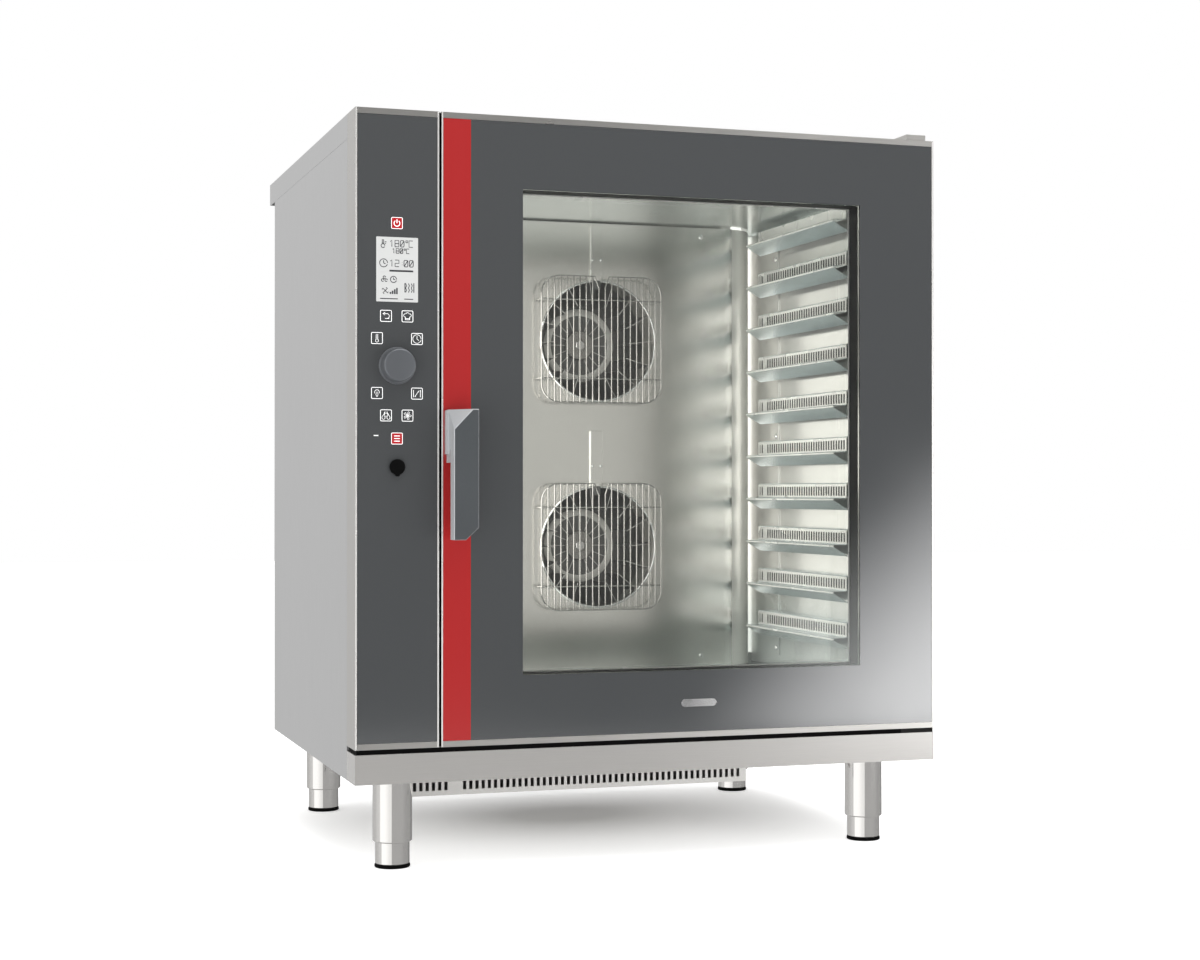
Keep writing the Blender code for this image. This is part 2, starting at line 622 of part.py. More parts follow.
def make_electrics():
    block("power_board", (0.186, 0.198), (0.26, 0.56), (0.50, 0.92), CIRCUIT)
    valve = block("water_valve", (0.062, 0.118), (0.690, SIDE_REAR - SHEET - 0.004), (0.335, 0.385), PLASTIC_GREY)
    fuse(valve, rod("valve_inlet", WATER_INLET, "y", 0.0105, (0.70, 0.806), sides=16))
    turned(
        "cable_gland", (GLAND[0], SIDE_REAR + GAP, GLAND[1]), "y",
        [(0.0, 0.020), (0.009, 0.020), (0.012, 0.017), (0.012, 0.007), (0.017, 0.007), (0.017, 0.0), (0.0118, 0.0),
         (0.0118, -0.016), (0.0, -0.016)],
        PLASTIC_DARK, steps=16,
    )
    x, y = COOLING_FAN
    low, high = PLINTH_TOP + GAP, 0.2297
    frame = block("cooling_fan_frame", (x - 0.06, x + 0.06), (y - 0.06, y + 0.06), (low, high), PLASTIC_DARK)
    cut(frame, rod("cooling_fan_bore", (x, y), "z", 0.056, (0.18, 0.25)))
    arms = blocks(
        "cooling_fan_arms",
        [((x - 0.058, x + 0.058), (y - 0.003, y + 0.003), (low + 0.0005, low + 0.004)),
         ((x - 0.003, x + 0.003), (y - 0.058, y + 0.058), (low + 0.0008, low + 0.0043))],
    )
    fuse(frame, arms, rod("cooling_fan_hub", (x, y), "z", 0.019, (low + 0.0002, low + 0.006)))
    rotor = turned(
        "cooling_fan_rotor", (x, y, 0), "z",
        [(0.0, 0.226), (0.018, 0.226), (0.020, 0.224), (0.020, 0.1985), (0.0, 0.1985)],
        PLASTIC_DARK, steps=16,
    )
    vanes = bmesh.new()
    for i in range(7):
        turn = Matrix.Rotation(2 * math.pi * i / 7, 4, "Z") @ Matrix.Translation((0.035, 0, 0.212))
        tilt = Matrix.Rotation(math.radians(38), 4, "X") @ Matrix.Diagonal((0.036, 0.028, 0.0018, 1.0))
        bmesh.ops.create_cube(vanes, size=1.0, matrix=Matrix.Translation(place(x, y, 0)) @ turn @ tilt)
    mesh = bpy.data.meshes.new("cooling_fan_vanes")
    vanes.to_mesh(mesh)
    vanes.free()
    fuse(rotor, add(mesh.name, mesh, None))


# ---------------------------------------------------------------- door
def make_door():
    right = WIDTH
    inside_x = (DOOR_LEFT + LIP, right - LIP)
    inside_z = (BODY_LOW + STRIP, HEIGHT - STRIP)
    plate_rear = GAP + GLASS + GAP + SHEET
    frame = block("door_frame", (DOOR_LEFT, right), (0, DOOR_REAR - SHEET - GAP), (BODY_LOW, HEIGHT), STEEL)
    cut(
        frame,
        block("frame_front_recess", inside_x, (-0.01, plate_rear - SHEET), inside_z),
        block("frame_hollow", inside_x, (plate_rear, 0.07), inside_z),
        block("frame_window", grown(WINDOW_X, 0.0025), (-0.01, 0.07), grown(WINDOW_Z, 0.0025)),
        rod("frame_spindle_hole", PIVOT, "y", 0.0075, (-0.01, 0.06), sides=16),
        rod("frame_pin_hole_top", (HINGE_X, HINGE_Y), "z", 0.0053, (1.174, 1.19), sides=16),
        rod("frame_pin_hole_bottom", (HINGE_X, HINGE_Y), "z", 0.0053, (0.19, 0.21), sides=16),
    )
    glass = block(
        "door_glass_outer", grown(inside_x, -GAP), (GAP, GAP + GLASS), grown(inside_z, -GAP), GLASS_DARK,
    )
    cut(glass, rod("glass_spindle_hole", PIVOT, "y", 0.0075, (-0.01, 0.05), sides=16))

    # The back of the door: a flange, a raised liner, and the walls around the window.
    liner = block("door_inner_panel", LINER_X, (DOOR_REAR - SHEET, LINER_REAR), LINER_Z, STEEL)
    flange = block(
        "liner_flange", (DOOR_LEFT + 0.001, right - 0.001), (DOOR_REAR - SHEET, DOOR_REAR),
        (BODY_LOW + 0.001, HEIGHT - 0.001),
    )
    hollow = block("liner_hollow", grown(LINER_X, -SHEET), (0.03, LINER_REAR - SHEET), grown(LINER_Z, -SHEET))
    wider = 0.014            # than the clear part of the glass
    collar = block("liner_collar", grown(WINDOW_X, wider + SHEET), (plate_rear + GAP, LINER_REAR),
                   grown(WINDOW_Z, wider + SHEET))
    window = block("liner_window", grown(WINDOW_X, wider), (-0.01, 0.08), grown(WINDOW_Z, wider))
    spindle = rod("liner_spindle_hole", PIVOT, "y", 0.0075, (0.03, 0.07), sides=16)
    fuse(liner, flange)
    cut(liner, hollow)
    fuse(liner, collar)
    cut(liner, window, spindle)

    block(
        "door_glass_inner", (0.232, 0.904), (LINER_REAR + GAP, LINER_REAR + 0.0053), (0.261, 1.101), GLASS_CLEAR,
    )


def make_handle():
    """The grip: a flat bar with a slanted top corner, on a boss that goes back to the door."""
    left, right = HANDLE_X
    low, high = HANDLE_Z
    front = -HANDLE_REACH
    bar_depth = 0.023
    outline = [
        (left, low), (left + 0.019, low), (right, low + 0.019), (right, high), (left, high),
    ]
    bar = outlines("door_handle", [outline], "y", (front, front + bar_depth), HANDLE_METAL)
    slanted = [
        (front + 0.010, 0.661), (front + bar_depth, 0.660), (-0.0008, 0.640), (-0.0008, high), (front + 0.010, high),
    ]
    boss = outlines("handle_boss", [slanted], "x", (left, right))
    foot = block("handle_boss_foot", (left - 0.003, right - 0.001), (-0.014, -0.0008), (0.653, high - 0.001))
    fuse(bar, boss, foot)
    # The slanted facet at the top left: through three points on the bar's edges.
    corner = bmesh.new()
    tip = place(left, front, high)
    edge = [tip + Vector((0.0296, 0, 0)), tip + Vector((0, 0.039, 0)), tip + Vector((0, 0, -0.031))]
    normal = (edge[1] - edge[0]).cross(edge[2] - edge[0]).normalized()
    if normal.dot(tip - edge[0]) < 0:
        normal = -normal
    turn = normal.to_track_quat("Z", "Y").to_matrix().to_4x4()
    centre = sum(edge, Vector()) / 3 + normal * 0.05
    bmesh.ops.create_cube(
        corner, size=1.0, matrix=Matrix.Translation(centre) @ turn @ Matrix.Diagonal((0.2, 0.2, 0.1, 1.0)),
    )
    mesh = bpy.data.meshes.new("handle_corner")
    corner.to_mesh(mesh)
    corner.free()
    cut(bar, add("handle_corner", mesh, None))
    pivot_at(bar, PIVOT[0], 0, PIVOT[1])

    hook = rod("latch_hook", PIVOT, "y", 0.006, (-0.0005, 0.0608), STEEL, sides=16)
    tongue = block("latch_tongue", (PIVOT[0] - 0.007, PIVOT[0] + 0.007), (0.0542, 0.0602),
                   (PIVOT[1] - 0.024, PIVOT[1] + 0.010))
    fuse(hook, tongue)
    pivot_at(hook, PIVOT[0], 0, PIVOT[1])
    strike = block("latch_strike", (0.146, 0.178), (0.0690, CAVITY_Y[0] - GAP), (0.626, 0.664), STEEL)
    fuse(strike, rod("strike_roller", (PIVOT[0], 0.646), "y", 0.006, (0.0562, 0.070), sides=16))


def make_hinges():
    top = block("hinge_bracket_top", (0.935, 0.970), (0.0, 0.12), (HEIGHT + GAP, HEIGHT + 0.009), STEEL)
    fuse(top, rod("hinge_pin_top", (HINGE_X, HINGE_Y), "z", 0.0048, (HEIGHT - 0.007, HEIGHT + 0.005), sides=16))
    bottom = block("hinge_bracket_bottom", (0.925, WIDTH - 0.001), (0.002, SIDE_FRONT - GAP),
                   (PLINTH_TOP + GAP, BODY_LOW - GAP), STEEL)
    fuse(bottom, rod("hinge_pin_bottom", (HINGE_X, HINGE_Y), "z", 0.0048, (0.195, BODY_LOW + 0.007), sides=16))


# ---------------------------------------------------------------- build
clear_scene()
OVEN = new_collection("combi_steamer_oven")
HELPERS = new_collection("helpers")
STEEL = finish("brushed_steel", (0.60, 0.60, 0.58), 0.32, 1.0)
POLISHED = finish("polished_steel", (0.68, 0.67, 0.64), 0.18, 1.0)
GLASS_DARK = finish("printed_glass", (0.09, 0.095, 0.10), 0.12)
GLASS_CLEAR = finish("clear_glass", (0.85, 0.88, 0.86), 0.03)
RUBBER = finish("black_rubber", (0.015, 0.015, 0.016), 0.6)
PLASTIC_DARK = finish("black_plastic", (0.03, 0.03, 0.032), 0.45)
PLASTIC_GREY = finish("grey_plastic", (0.35, 0.36, 0.37), 0.5)
CIRCUIT = finish("circuit_board", (0.02, 0.12, 0.05), 0.5)
WOOL = finish("mineral_wool", (0.55, 0.50, 0.36), 0.95)
ELEMENT = finish("heating_element", (0.18, 0.16, 0.15), 0.4, 1.0)
MOTOR = finish("motor_casing", (0.12, 0.12, 0.13), 0.45, 0.6)
LENS = finish("lamp_glass", (0.85, 0.83, 0.78), 0.15)
KNOB_METAL = finish("satin_knob", (0.23, 0.25, 0.27), 0.3, 0.8)
HANDLE_METAL = finish("satin_handle", (0.22, 0.24, 0.25), 0.35, 0.8)

for depth_name, leg_y in zip(("front", "rear"), LEG_Y):
    make_leg(depth_name + "_left", LEG_X, leg_y)
    make_leg(depth_name + "_right", WIDTH - LEG_X, leg_y)
make_base()
make_casing()
make_cavity()
make_rack("rack_right", False)
make_rack("rack_left", True)
make_baffle()
for fan_level in FAN_Z:
    make_guard(fan_level)
    make_heater(fan_level)
    make_fan(fan_level)
    make_spray_channel(fan_level)
make_cavity_fittings()
make_controls()
make_electrics()
make_door()
make_handle()
make_hinges()
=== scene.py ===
"""Looks of the combi steamer oven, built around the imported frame. Metres, +Z up, the front faces -Y."""

import json
import math

import bmesh
import bpy
from mathutils import Matrix, Vector


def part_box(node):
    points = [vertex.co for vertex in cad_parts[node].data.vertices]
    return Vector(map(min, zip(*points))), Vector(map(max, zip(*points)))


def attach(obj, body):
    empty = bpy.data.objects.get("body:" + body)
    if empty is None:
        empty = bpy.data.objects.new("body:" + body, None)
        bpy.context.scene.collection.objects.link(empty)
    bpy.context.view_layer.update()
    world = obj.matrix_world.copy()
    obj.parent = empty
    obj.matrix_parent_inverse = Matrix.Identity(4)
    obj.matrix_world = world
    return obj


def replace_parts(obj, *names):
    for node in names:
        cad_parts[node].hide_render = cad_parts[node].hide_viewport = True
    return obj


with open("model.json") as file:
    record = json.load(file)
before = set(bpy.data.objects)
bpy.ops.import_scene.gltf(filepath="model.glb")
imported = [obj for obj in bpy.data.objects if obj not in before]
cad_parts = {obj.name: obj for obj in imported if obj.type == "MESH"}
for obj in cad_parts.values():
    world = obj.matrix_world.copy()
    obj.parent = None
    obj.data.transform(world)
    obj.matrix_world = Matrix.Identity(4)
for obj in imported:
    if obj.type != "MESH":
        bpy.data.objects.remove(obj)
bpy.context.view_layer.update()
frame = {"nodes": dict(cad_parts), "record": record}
nodes = frame["nodes"]

# ---------------------------------------------------------------- places, read from the frame
HOUSING_LOW, HOUSING_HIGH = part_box("control_housing")
DOOR_LOW, DOOR_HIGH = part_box("door_frame")
GLASS_LOW, GLASS_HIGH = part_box("door_glass_outer")
PANEL_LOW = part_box("control_glass")[0]
BAFFLE_LOW, BAFFLE_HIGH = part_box("fan_baffle")
HANDLE_LOW, HANDLE_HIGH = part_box("door_handle")
LEFT, FRONT = HOUSING_LOW.x, HOUSING_LOW.y


def at(x, y, z):
    """A place given from the oven's left side, the door's front face and the floor."""
    return Vector((LEFT + x, FRONT + y, z))


def centre_of(node):
    low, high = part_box(node)
    return (low + high) / 2


WINDOW_LOW, WINDOW_HIGH = at(0.267, 0, 0.307), at(0.849, 0, 1.071)
STRIPE_RIGHT = LEFT + 0.1827
WINDOW_REAR = next(
    entry["box_m"][1][1] for entry in frame["record"]["physics"]["openings"] if entry["name"] == "door_window"
)
MIDDLE_X = centre_of("impeller_upper").x
FAN_HEIGHTS = [centre_of(f"impeller_{level}").z for level in ("upper", "lower")]
INLET = 0.112            # radius of the baffle's round inlets
FLUSH = 0.00012          # how far printed marks stand off the glass
MM = 0.001


# ---------------------------------------------------------------- mesh helpers
def to_object(name, solid, material, body=None, smooth=None):
    """Makes a piece out of a bmesh. smooth is the angle, in degrees, above which an edge stays sharp."""
    mesh = bpy.data.meshes.new(name)
    bmesh.ops.recalc_face_normals(solid, faces=solid.faces)
    solid.to_mesh(mesh)
    solid.free()
    obj = bpy.data.objects.new(name, mesh)
    bpy.context.scene.collection.objects.link(obj)
    if material is not None:
        mesh.materials.append(material)
    if smooth is not None:
        mesh.shade_smooth()
        mesh.set_sharp_from_angle(angle=math.radians(smooth))
    if body is not None:
        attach(obj, body)
    return obj


def add_box(solid, low, high):
    low, high = Vector(low), Vector(high)
    size = Matrix.Diagonal((*(high - low), 1.0))
    return bmesh.ops.create_cube(solid, size=1.0, matrix=Matrix.Translation((low + high) / 2) @ size)["verts"]


def boxes(name, spans, material, body, edge=0.0):
    """One piece of boxes, each given by its low and high corner."""
    solid = bmesh.new()
    for low, high in spans:
        add_box(solid, low, high)
    obj = to_object(name, solid, material, body)
    return soften(obj, edge) if edge else obj


def soften(obj, width, segments=2, angle=30):
    """Rounds an object's sharp edges."""
    modifier = obj.modifiers.new("edges", "BEVEL")
    modifier.width = width
    modifier.segments = segments
    modifier.limit_method = "ANGLE"
    modifier.angle_limit = math.radians(angle)
    return obj


AXES = {
    "x": Matrix.Rotation(math.pi / 2, 4, "Y"),
    "y": Matrix.Rotation(-math.pi / 2, 4, "X"),
    "z": Matrix.Identity(4),
}


def add_turned(solid, centre, axis, profile, steps=64):
    """Adds a closed turned shape. profile holds (radius, along) from one end of the axis to the other."""
    turn = Matrix.Translation(centre) @ AXES[axis]
    rings = []
    for radius, along in profile:
        if radius < 1e-6:
            rings.append([solid.verts.new(turn @ Vector((0, 0, along)))])
            continue
        ring = []
        for i in range(steps):
            angle = 2 * math.pi * i / steps
            ring.append(solid.verts.new(turn @ Vector((radius * math.cos(angle), radius * math.sin(angle), along))))
        rings.append(ring)
    for one, two in zip(rings, rings[1:]):
        for i in range(steps):
            corners = [one[i % len(one)], one[(i + 1) % len(one)], two[(i + 1) % len(two)], two[i % len(two)]]
            kept = [v for k, v in enumerate(corners) if v not in corners[:k]]
            if len(kept) > 2:
                solid.faces.new(kept)


def turned(name, centre, axis, profile, material, body, steps=64, smooth=35):
    solid = bmesh.new()
    add_turned(solid, centre, axis, profile, steps)
    return to_object(name, solid, material, body, smooth)


def mm(*pairs):
    """Points given in millimetres."""
    return [(a * MM, b * MM) for a, b in pairs]


def add_prism(solid, outline, axis, span):
    """Adds a straight prism: outline holds (across, up) points, span the two ends along the axis."""
    place = {"x": lambda a, u, w: (w, a, u), "y": lambda a, u, w: (a, w, u), "z": lambda a, u, w: (a, u, w)}[axis]
    ends = [[solid.verts.new(place(a, u, along)) for a, u in outline] for along in span]
    solid.faces.new(ends[0])
    solid.faces.new(list(reversed(ends[1])))
    count = len(outline)
    for i in range(count):
        solid.faces.new([ends[0][i], ends[0][(i + 1) % count], ends[1][(i + 1) % count], ends[1][i]])


def rectangle(low, high, inset=0.0):
    """The outline of an upright rectangle between two corners, pulled in by inset."""
    x0, x1, z0, z1 = low.x + inset, high.x - inset, low.z + inset, high.z - inset
    return [(x0, z0), (x1, z0), (x1, z1), (x0, z1)]


def rounded_rectangle(centre, half_width, half_height, radius, steps=6):
    """Outline points, counter-clockwise from the lower right corner."""
    points = []
    for i, (sx, sy) in enumerate(((1, -1), (1, 1), (-1, 1), (-1, -1))):
        cx = centre[0] + sx * (half_width - radius)
        cy = centre[1] + sy * (half_height - radius)
        for k in range(steps + 1):
            angle = math.radians(-90 + 90 * i + 90 * k / steps)
            points.append((cx + radius * math.cos(angle), cy + radius * math.sin(angle)))
    return points


def arc(centre, radius, start, end, steps=16):
    """Points on an arc, angles in degrees."""
    return [
        (centre[0] + radius * math.cos(math.radians(start + (end - start) * i / steps)),
         centre[1] + radius * math.sin(math.radians(start + (end - start) * i / steps)))
        for i in range(steps + 1)
    ]


def wires(name, paths, radius, material, body, closed=False, roundness=3, flatten=None):
    """One piece of round wires, each along a list of points. closed may be one value or one for each path."""
    curve = bpy.data.curves.new(name, "CURVE")
    curve.dimensions = "3D"
    curve.bevel_depth = radius
    curve.bevel_resolution = roundness
    curve.use_fill_caps = True
    closures = closed if isinstance(closed, (list, tuple)) else [closed] * len(paths)
    for path, loop in zip(paths, closures):
        spline = curve.splines.new("POLY")
        spline.points.add(len(path) - 1)
        for knot, point in zip(spline.points, path):
            knot.co = (*point, 1.0)
        spline.use_cyclic_u = loop
    obj = bpy.data.objects.new(name, curve)
    bpy.context.scene.collection.objects.link(obj)
    bpy.context.view_layer.update()
    mesh = bpy.data.meshes.new_from_object(obj.evaluated_get(bpy.context.evaluated_depsgraph_get()))
    bpy.data.objects.remove(obj, do_unlink=True)
    solid = bmesh.new()
    solid.from_mesh(mesh)
    bmesh.ops.remove_doubles(solid, verts=solid.verts, dist=0.000002)
    if flatten is not None:
        for vertex in solid.verts:
            vertex.co.y = flatten + (vertex.co.y - flatten) * 0.12
    bpy.data.meshes.remove(mesh)
    return to_object(name, solid, material, body, smooth=50)


def sheet(name, rows, material, body, thickness, skip=None, edge=0.0):
    """A sheet-metal piece: rows of points, quads between them, and its thickness. skip(row, column) leaves a hole."""
    solid = bmesh.new()
    grid = [[solid.verts.new(point) for point in row] for row in rows]
    for r in range(len(grid) - 1):
        for c in range(len(grid[0]) - 1):
            if skip is None or not skip(r, c):
                solid.faces.new([grid[r][c], grid[r][c + 1], grid[r + 1][c + 1], grid[r + 1][c]])
    bmesh.ops.delete(solid, geom=[v for v in solid.verts if not v.link_faces], context="VERTS")
    obj = to_object(name, solid, material, body)
    modifier = obj.modifiers.new("thickness", "SOLIDIFY")
    modifier.thickness = thickness
    modifier.offset = 0.0
    modifier.use_even_offset = True
    if edge:
        soften(obj, edge, 1, 40)
    return obj


def carve(obj, cutters):
    """Cuts shapes out of an object for good, and removes them."""
    for cutter in cutters:
        modifier = obj.modifiers.new("cut", "BOOLEAN")
        modifier.operation = "DIFFERENCE"
        modifier.solver = "EXACT"
        modifier.object = cutter
    bpy.context.view_layer.update()
    evaluated = obj.evaluated_get(bpy.context.evaluated_depsgraph_get())
    mesh = bpy.data.meshes.new_from_object(evaluated)
    obj.modifiers.clear()
    obj.data = mesh
    for cutter in cutters:
        bpy.data.objects.remove(cutter, do_unlink=True)
    return obj


def clone(node, name, material, body, edge):
    """A new piece with a CAD node's shape, its flat faces made whole and its edges rounded."""
    solid = bmesh.new()
    solid.from_mesh(nodes[node].data)
    bmesh.ops.remove_doubles(solid, verts=solid.verts, dist=0.000005)
    bmesh.ops.dissolve_limit(solid, angle_limit=math.radians(1), verts=solid.verts, edges=solid.edges)
    obj = to_object(name, solid, material, body)
    soften(obj, edge)
    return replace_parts(obj, node)


def screws(name, places, axis, radius, material, body, side=-1):
    """Pan-head screws, all of one size, on the named side of an axis."""
    solid = bmesh.new()
    head = radius * 0.55
    for place in places:
        add_turned(
            solid, place, axis,
            [(0.0, -side * 0.0004), (radius, -side * 0.0004), (radius, side * head * 0.45),
             (radius * 0.72, side * head * 0.9), (radius * 0.3, side * head), (0.0, side * head)],
            20,
        )
    return to_object(name, solid, material, body, smooth=40)


# ---------------------------------------------------------------- material helpers
def shader_of(material):
    return material.node_tree.nodes["Principled BSDF"]


def noise_of(tree, scale, detail=3.0, roughness=0.5, stretch=(1, 1, 1)):
    """A noise's factor socket, on object coordinates in metres, stretched by a scale for each axis."""
    coordinates = tree.nodes.new("ShaderNodeTexCoord")
    mapping = tree.nodes.new("ShaderNodeMapping")
    mapping.inputs["Scale"].default_value = stretch
    texture = tree.nodes.new("ShaderNodeTexNoise")
    texture.inputs["Scale"].default_value = scale
    texture.inputs["Detail"].default_value = detail
    texture.inputs["Roughness"].default_value = roughness
    tree.links.new(coordinates.outputs["Object"], mapping.inputs["Vector"])
    tree.links.new(mapping.outputs["Vector"], texture.inputs["Vector"])
    return texture.outputs["Fac"]


def spread(tree, factor, low, high, start=0.3, end=0.7, interpolation="LINEAR"):
    """Maps a factor between start and end to a value between low and high."""
    node = tree.nodes.new("ShaderNodeMapRange")
    node.interpolation_type = interpolation
    node.inputs["From Min"].default_value = start
    node.inputs["From Max"].default_value = end
    node.inputs["To Min"].default_value = low
    node.inputs["To Max"].default_value = high
    tree.links.new(factor, node.inputs["Value"])
    return node.outputs["Result"]


def combine(tree, operation, *values):
    """A Math node's result, from sockets or numbers."""
    node = tree.nodes.new("ShaderNodeMath")
    node.operation = operation
    for value, socket in zip(values, node.inputs):
        if isinstance(value, bpy.types.NodeSocket):
            tree.links.new(value, socket)
        else:
            socket.default_value = value
    return node.outputs["Value"]


def shade(tree, factor, dark, light, start=0.3, end=0.7):
    """Mixes two colours by a factor."""
    node = tree.nodes.new("ShaderNodeMix")
    node.data_type = "RGBA"
    node.inputs["A"].default_value = (*dark, 1.0)
    node.inputs["B"].default_value = (*light, 1.0)
    tree.links.new(spread(tree, factor, 0.0, 1.0, start, end), node.inputs["Factor"])
    return node.outputs["Result"]


def tinted(colour, by):
    return tuple(min(1.0, c * by) for c in colour)


def surface(
    name, colour, roughness, metallic, grain, mottle, clouds, cloudiness, bump, depth=0.0002, specular=0.5, ior=1.5,
    glow=0.0, stretch=(1, 1, 1),
):
    """A Principled material: fine grain in colour and relief, and broad soft changes of gloss."""
    material = bpy.data.materials.new(name)
    material.use_nodes = True
    tree, shader = material.node_tree, shader_of(material)
    shader.inputs["Metallic"].default_value = metallic
    shader.inputs["Specular IOR Level"].default_value = specular
    shader.inputs["IOR"].default_value = ior
    shader.inputs["Emission Color"].default_value = (*colour, 1.0)
    shader.inputs["Emission Strength"].default_value = glow
    fine = noise_of(tree, grain, 4.0, 0.6, stretch)
    broad = noise_of(tree, clouds, 3.0, 0.55)
    tree.links.new(shade(tree, fine, tinted(colour, 1 - mottle), tinted(colour, 1 + mottle)),
                   shader.inputs["Base Color"])
    tree.links.new(spread(tree, broad, roughness - cloudiness, roughness + cloudiness), shader.inputs["Roughness"])
    if bump:
        relief = tree.nodes.new("ShaderNodeBump")
        relief.inputs["Strength"].default_value = bump
        relief.inputs["Distance"].default_value = depth
        tree.links.new(fine, relief.inputs["Height"])
        tree.links.new(relief.outputs["Normal"], shader.inputs["Normal"])
    return material


ALONG_X, ALONG_Y, ALONG_Z = (0.012, 1, 1), (1, 0.012, 1), (1, 1, 0.012)


def brushed(name, colour, roughness, metallic, along, bump=0.03, mottle=0.03, cloudiness=0.03, depth=0.0002):
    """Sheet steel with a fine grain along one axis."""
    return surface(name, colour, roughness, metallic, 1500, mottle, 4.0, cloudiness, bump, depth, stretch=along)


def pane(name, tint, gloss):
    """Clear glass: what is behind shows through a tint, and the surface reflects at a slant."""
    material = bpy.data.materials.new(name)
    material.use_nodes = True
    tree = material.node_tree
    tree.nodes.remove(shader_of(material))
    clear = tree.nodes.new("ShaderNodeBsdfTransparent")
    clear.inputs["Color"].default_value = (*tint, 1.0)
    mirror = tree.nodes.new("ShaderNodeBsdfGlossy")
    mirror.inputs["Color"].default_value = (0.95, 0.98, 0.97, 1.0)
    smear = noise_of(tree, 5.0, 4.0, 0.6)
    tree.links.new(spread(tree, smear, gloss, gloss + 0.04), mirror.inputs["Roughness"])
    edge = tree.nodes.new("ShaderNodeFresnel")
    edge.inputs["IOR"].default_value = 1.45
    mix = tree.nodes.new("ShaderNodeMixShader")
    tree.links.new(edge.outputs["Fac"], mix.inputs["Fac"])
    tree.links.new(clear.outputs["BSDF"], mix.inputs[1])
    tree.links.new(mirror.outputs["BSDF"], mix.inputs[2])
    tree.links.new(mix.outputs["Shader"], tree.nodes["Material Output"].inputs["Surface"])
    return material


def shade_chamber_ends(material, tint):
    """Darkens a chamber material to a bluish grey towards the chamber's floor and at its ceiling: painted shade."""
    tree, shader = material.node_tree, shader_of(material)
    plain = shader.inputs["Base Color"].links[0].from_socket
    coordinates = tree.nodes.new("ShaderNodeTexCoord")
    split = tree.nodes.new("ShaderNodeSeparateXYZ")
    tree.links.new(coordinates.outputs["Object"], split.inputs["Vector"])
    height = split.outputs["Z"]
    floor, ceiling = spread(tree, height, 1.0, 0.0, 0.32, 0.46), spread(tree, height, 0.0, 1.0, 1.07, 1.098)
    mix = tree.nodes.new("ShaderNodeMix")
    mix.data_type = "RGBA"
    mix.blend_type = "MULTIPLY"
    mix.inputs["B"].default_value = (*tint, 1.0)
    tree.links.new(plain, mix.inputs["A"])
    tree.links.new(combine(tree, "MAXIMUM", floor, ceiling), mix.inputs["Factor"])
    tree.links.new(mix.outputs["Result"], shader.inputs["Base Color"])


SIDE_STEEL = brushed("side_steel", (0.63, 0.63, 0.63), 0.42, 1.0, ALONG_Z, 0.05, 0.045, 0.035, 0.00015)
FRONT_STEEL = brushed("front_steel", (0.6, 0.585, 0.56), 0.3, 1.0, ALONG_X, 0.05, 0.045, 0.035, 0.00015)
UPRIGHT_STEEL = brushed("upright_steel", (0.8, 0.79, 0.77), 0.26, 0.6, ALONG_Z)
VENT_STEEL = brushed("vent_steel", (0.62, 0.61, 0.59), 0.3, 0.4, ALONG_X, bump=0.02, cloudiness=0.02)
PLINTH_STEEL = brushed("plinth_steel", (0.4, 0.39, 0.375), 0.18, 0.5, ALONG_X, bump=0.02, cloudiness=0.02)
INNER_STEEL = brushed("inner_steel", (0.86, 0.855, 0.83), 0.17, 0.7, ALONG_Z)
BAFFLE_STEEL = brushed("baffle_steel", (0.86, 0.85, 0.82), 0.2, 1.0, ALONG_Z)
BEND_STEEL = brushed("bend_steel", (0.86, 0.85, 0.82), 0.36, 0.4, ALONG_Z, bump=0.0)
FIN_STEEL = brushed("fin_steel", (0.86, 0.855, 0.83), 0.28, 0.5, ALONG_Y)
# A darker, bluish copy of the chamber steel for the rails' tops and undersides: painted shade.
RAIL_SHADE_STEEL = brushed("rail_shade_steel", (0.62, 0.69, 0.7), 0.26, 0.7, ALONG_Y, bump=0.0, cloudiness=0.02)
WIRE_STEEL = surface("wire_steel", (0.44, 0.43, 0.415), 0.18, 1.0, 400, 0.05, 8.0, 0.03, 0.03)
IMPELLER_STEEL = surface("impeller_steel", (0.46, 0.46, 0.45), 0.32, 1.0, 500, 0.08, 12.0, 0.06, 0.05)
CONE_STEEL = surface("cone_steel", (0.6, 0.595, 0.57), 0.34, 0.35, 400, 0.06, 12.0, 0.05, 0.04)
DARK_STEEL = surface("dark_steel", (0.15, 0.15, 0.148), 0.4, 0.7, 500, 0.1, 12.0, 0.06, 0.05)
LEG_STEEL = brushed("leg_steel", (0.6, 0.588, 0.57), 0.045, 0.9, ALONG_Z, bump=0.0, mottle=0.015, cloudiness=0.01)
PRINT = surface("printed_glass", (0.044, 0.0465, 0.0485), 0.06, 0.0, 1100, 0.1, 5.0, 0.015, 0.0, ior=2.0)
RED = surface("red_stripe", (0.3, 0.016, 0.0165), 0.08, 0.0, 1100, 0.06, 5.0, 0.02, 0.0, ior=1.6)
RED_KEY = surface("red_key", (0.36, 0.002, 0.006), 0.3, 0.0, 1500, 0.05, 30.0, 0.03, 0.0)
# The white print glows a little, though it is no lamp: painted light that keeps the marks fully white.
WHITE_PRINT = surface("white_print", (0.9, 0.9, 0.9), 0.4, 0.0, 1500, 0.03, 30.0, 0.03, 0.0, glow=0.35)
LCD = surface("lcd_face", (0.5, 0.505, 0.5), 0.35, 0.0, 2600, 0.02, 20.0, 0.02, 0.0)
LCD_INK = surface("lcd_ink", (0.02, 0.02, 0.025), 0.4, 0.0, 2600, 0.05, 20.0, 0.02, 0.0)
RUBBER = surface("black_rubber", (0.006, 0.006, 0.0065), 0.62, 0.0, 700, 0.12, 30.0, 0.06, 0.25, 0.0001)
BLACK = surface("black_plastic", (0.028, 0.028, 0.03), 0.45, 0.0, 900, 0.1, 20.0, 0.05, 0.2, 0.0001)
GREY = surface("grey_plastic", (0.33, 0.34, 0.35), 0.5, 0.0, 900, 0.05, 20.0, 0.05, 0.2, 0.0001)
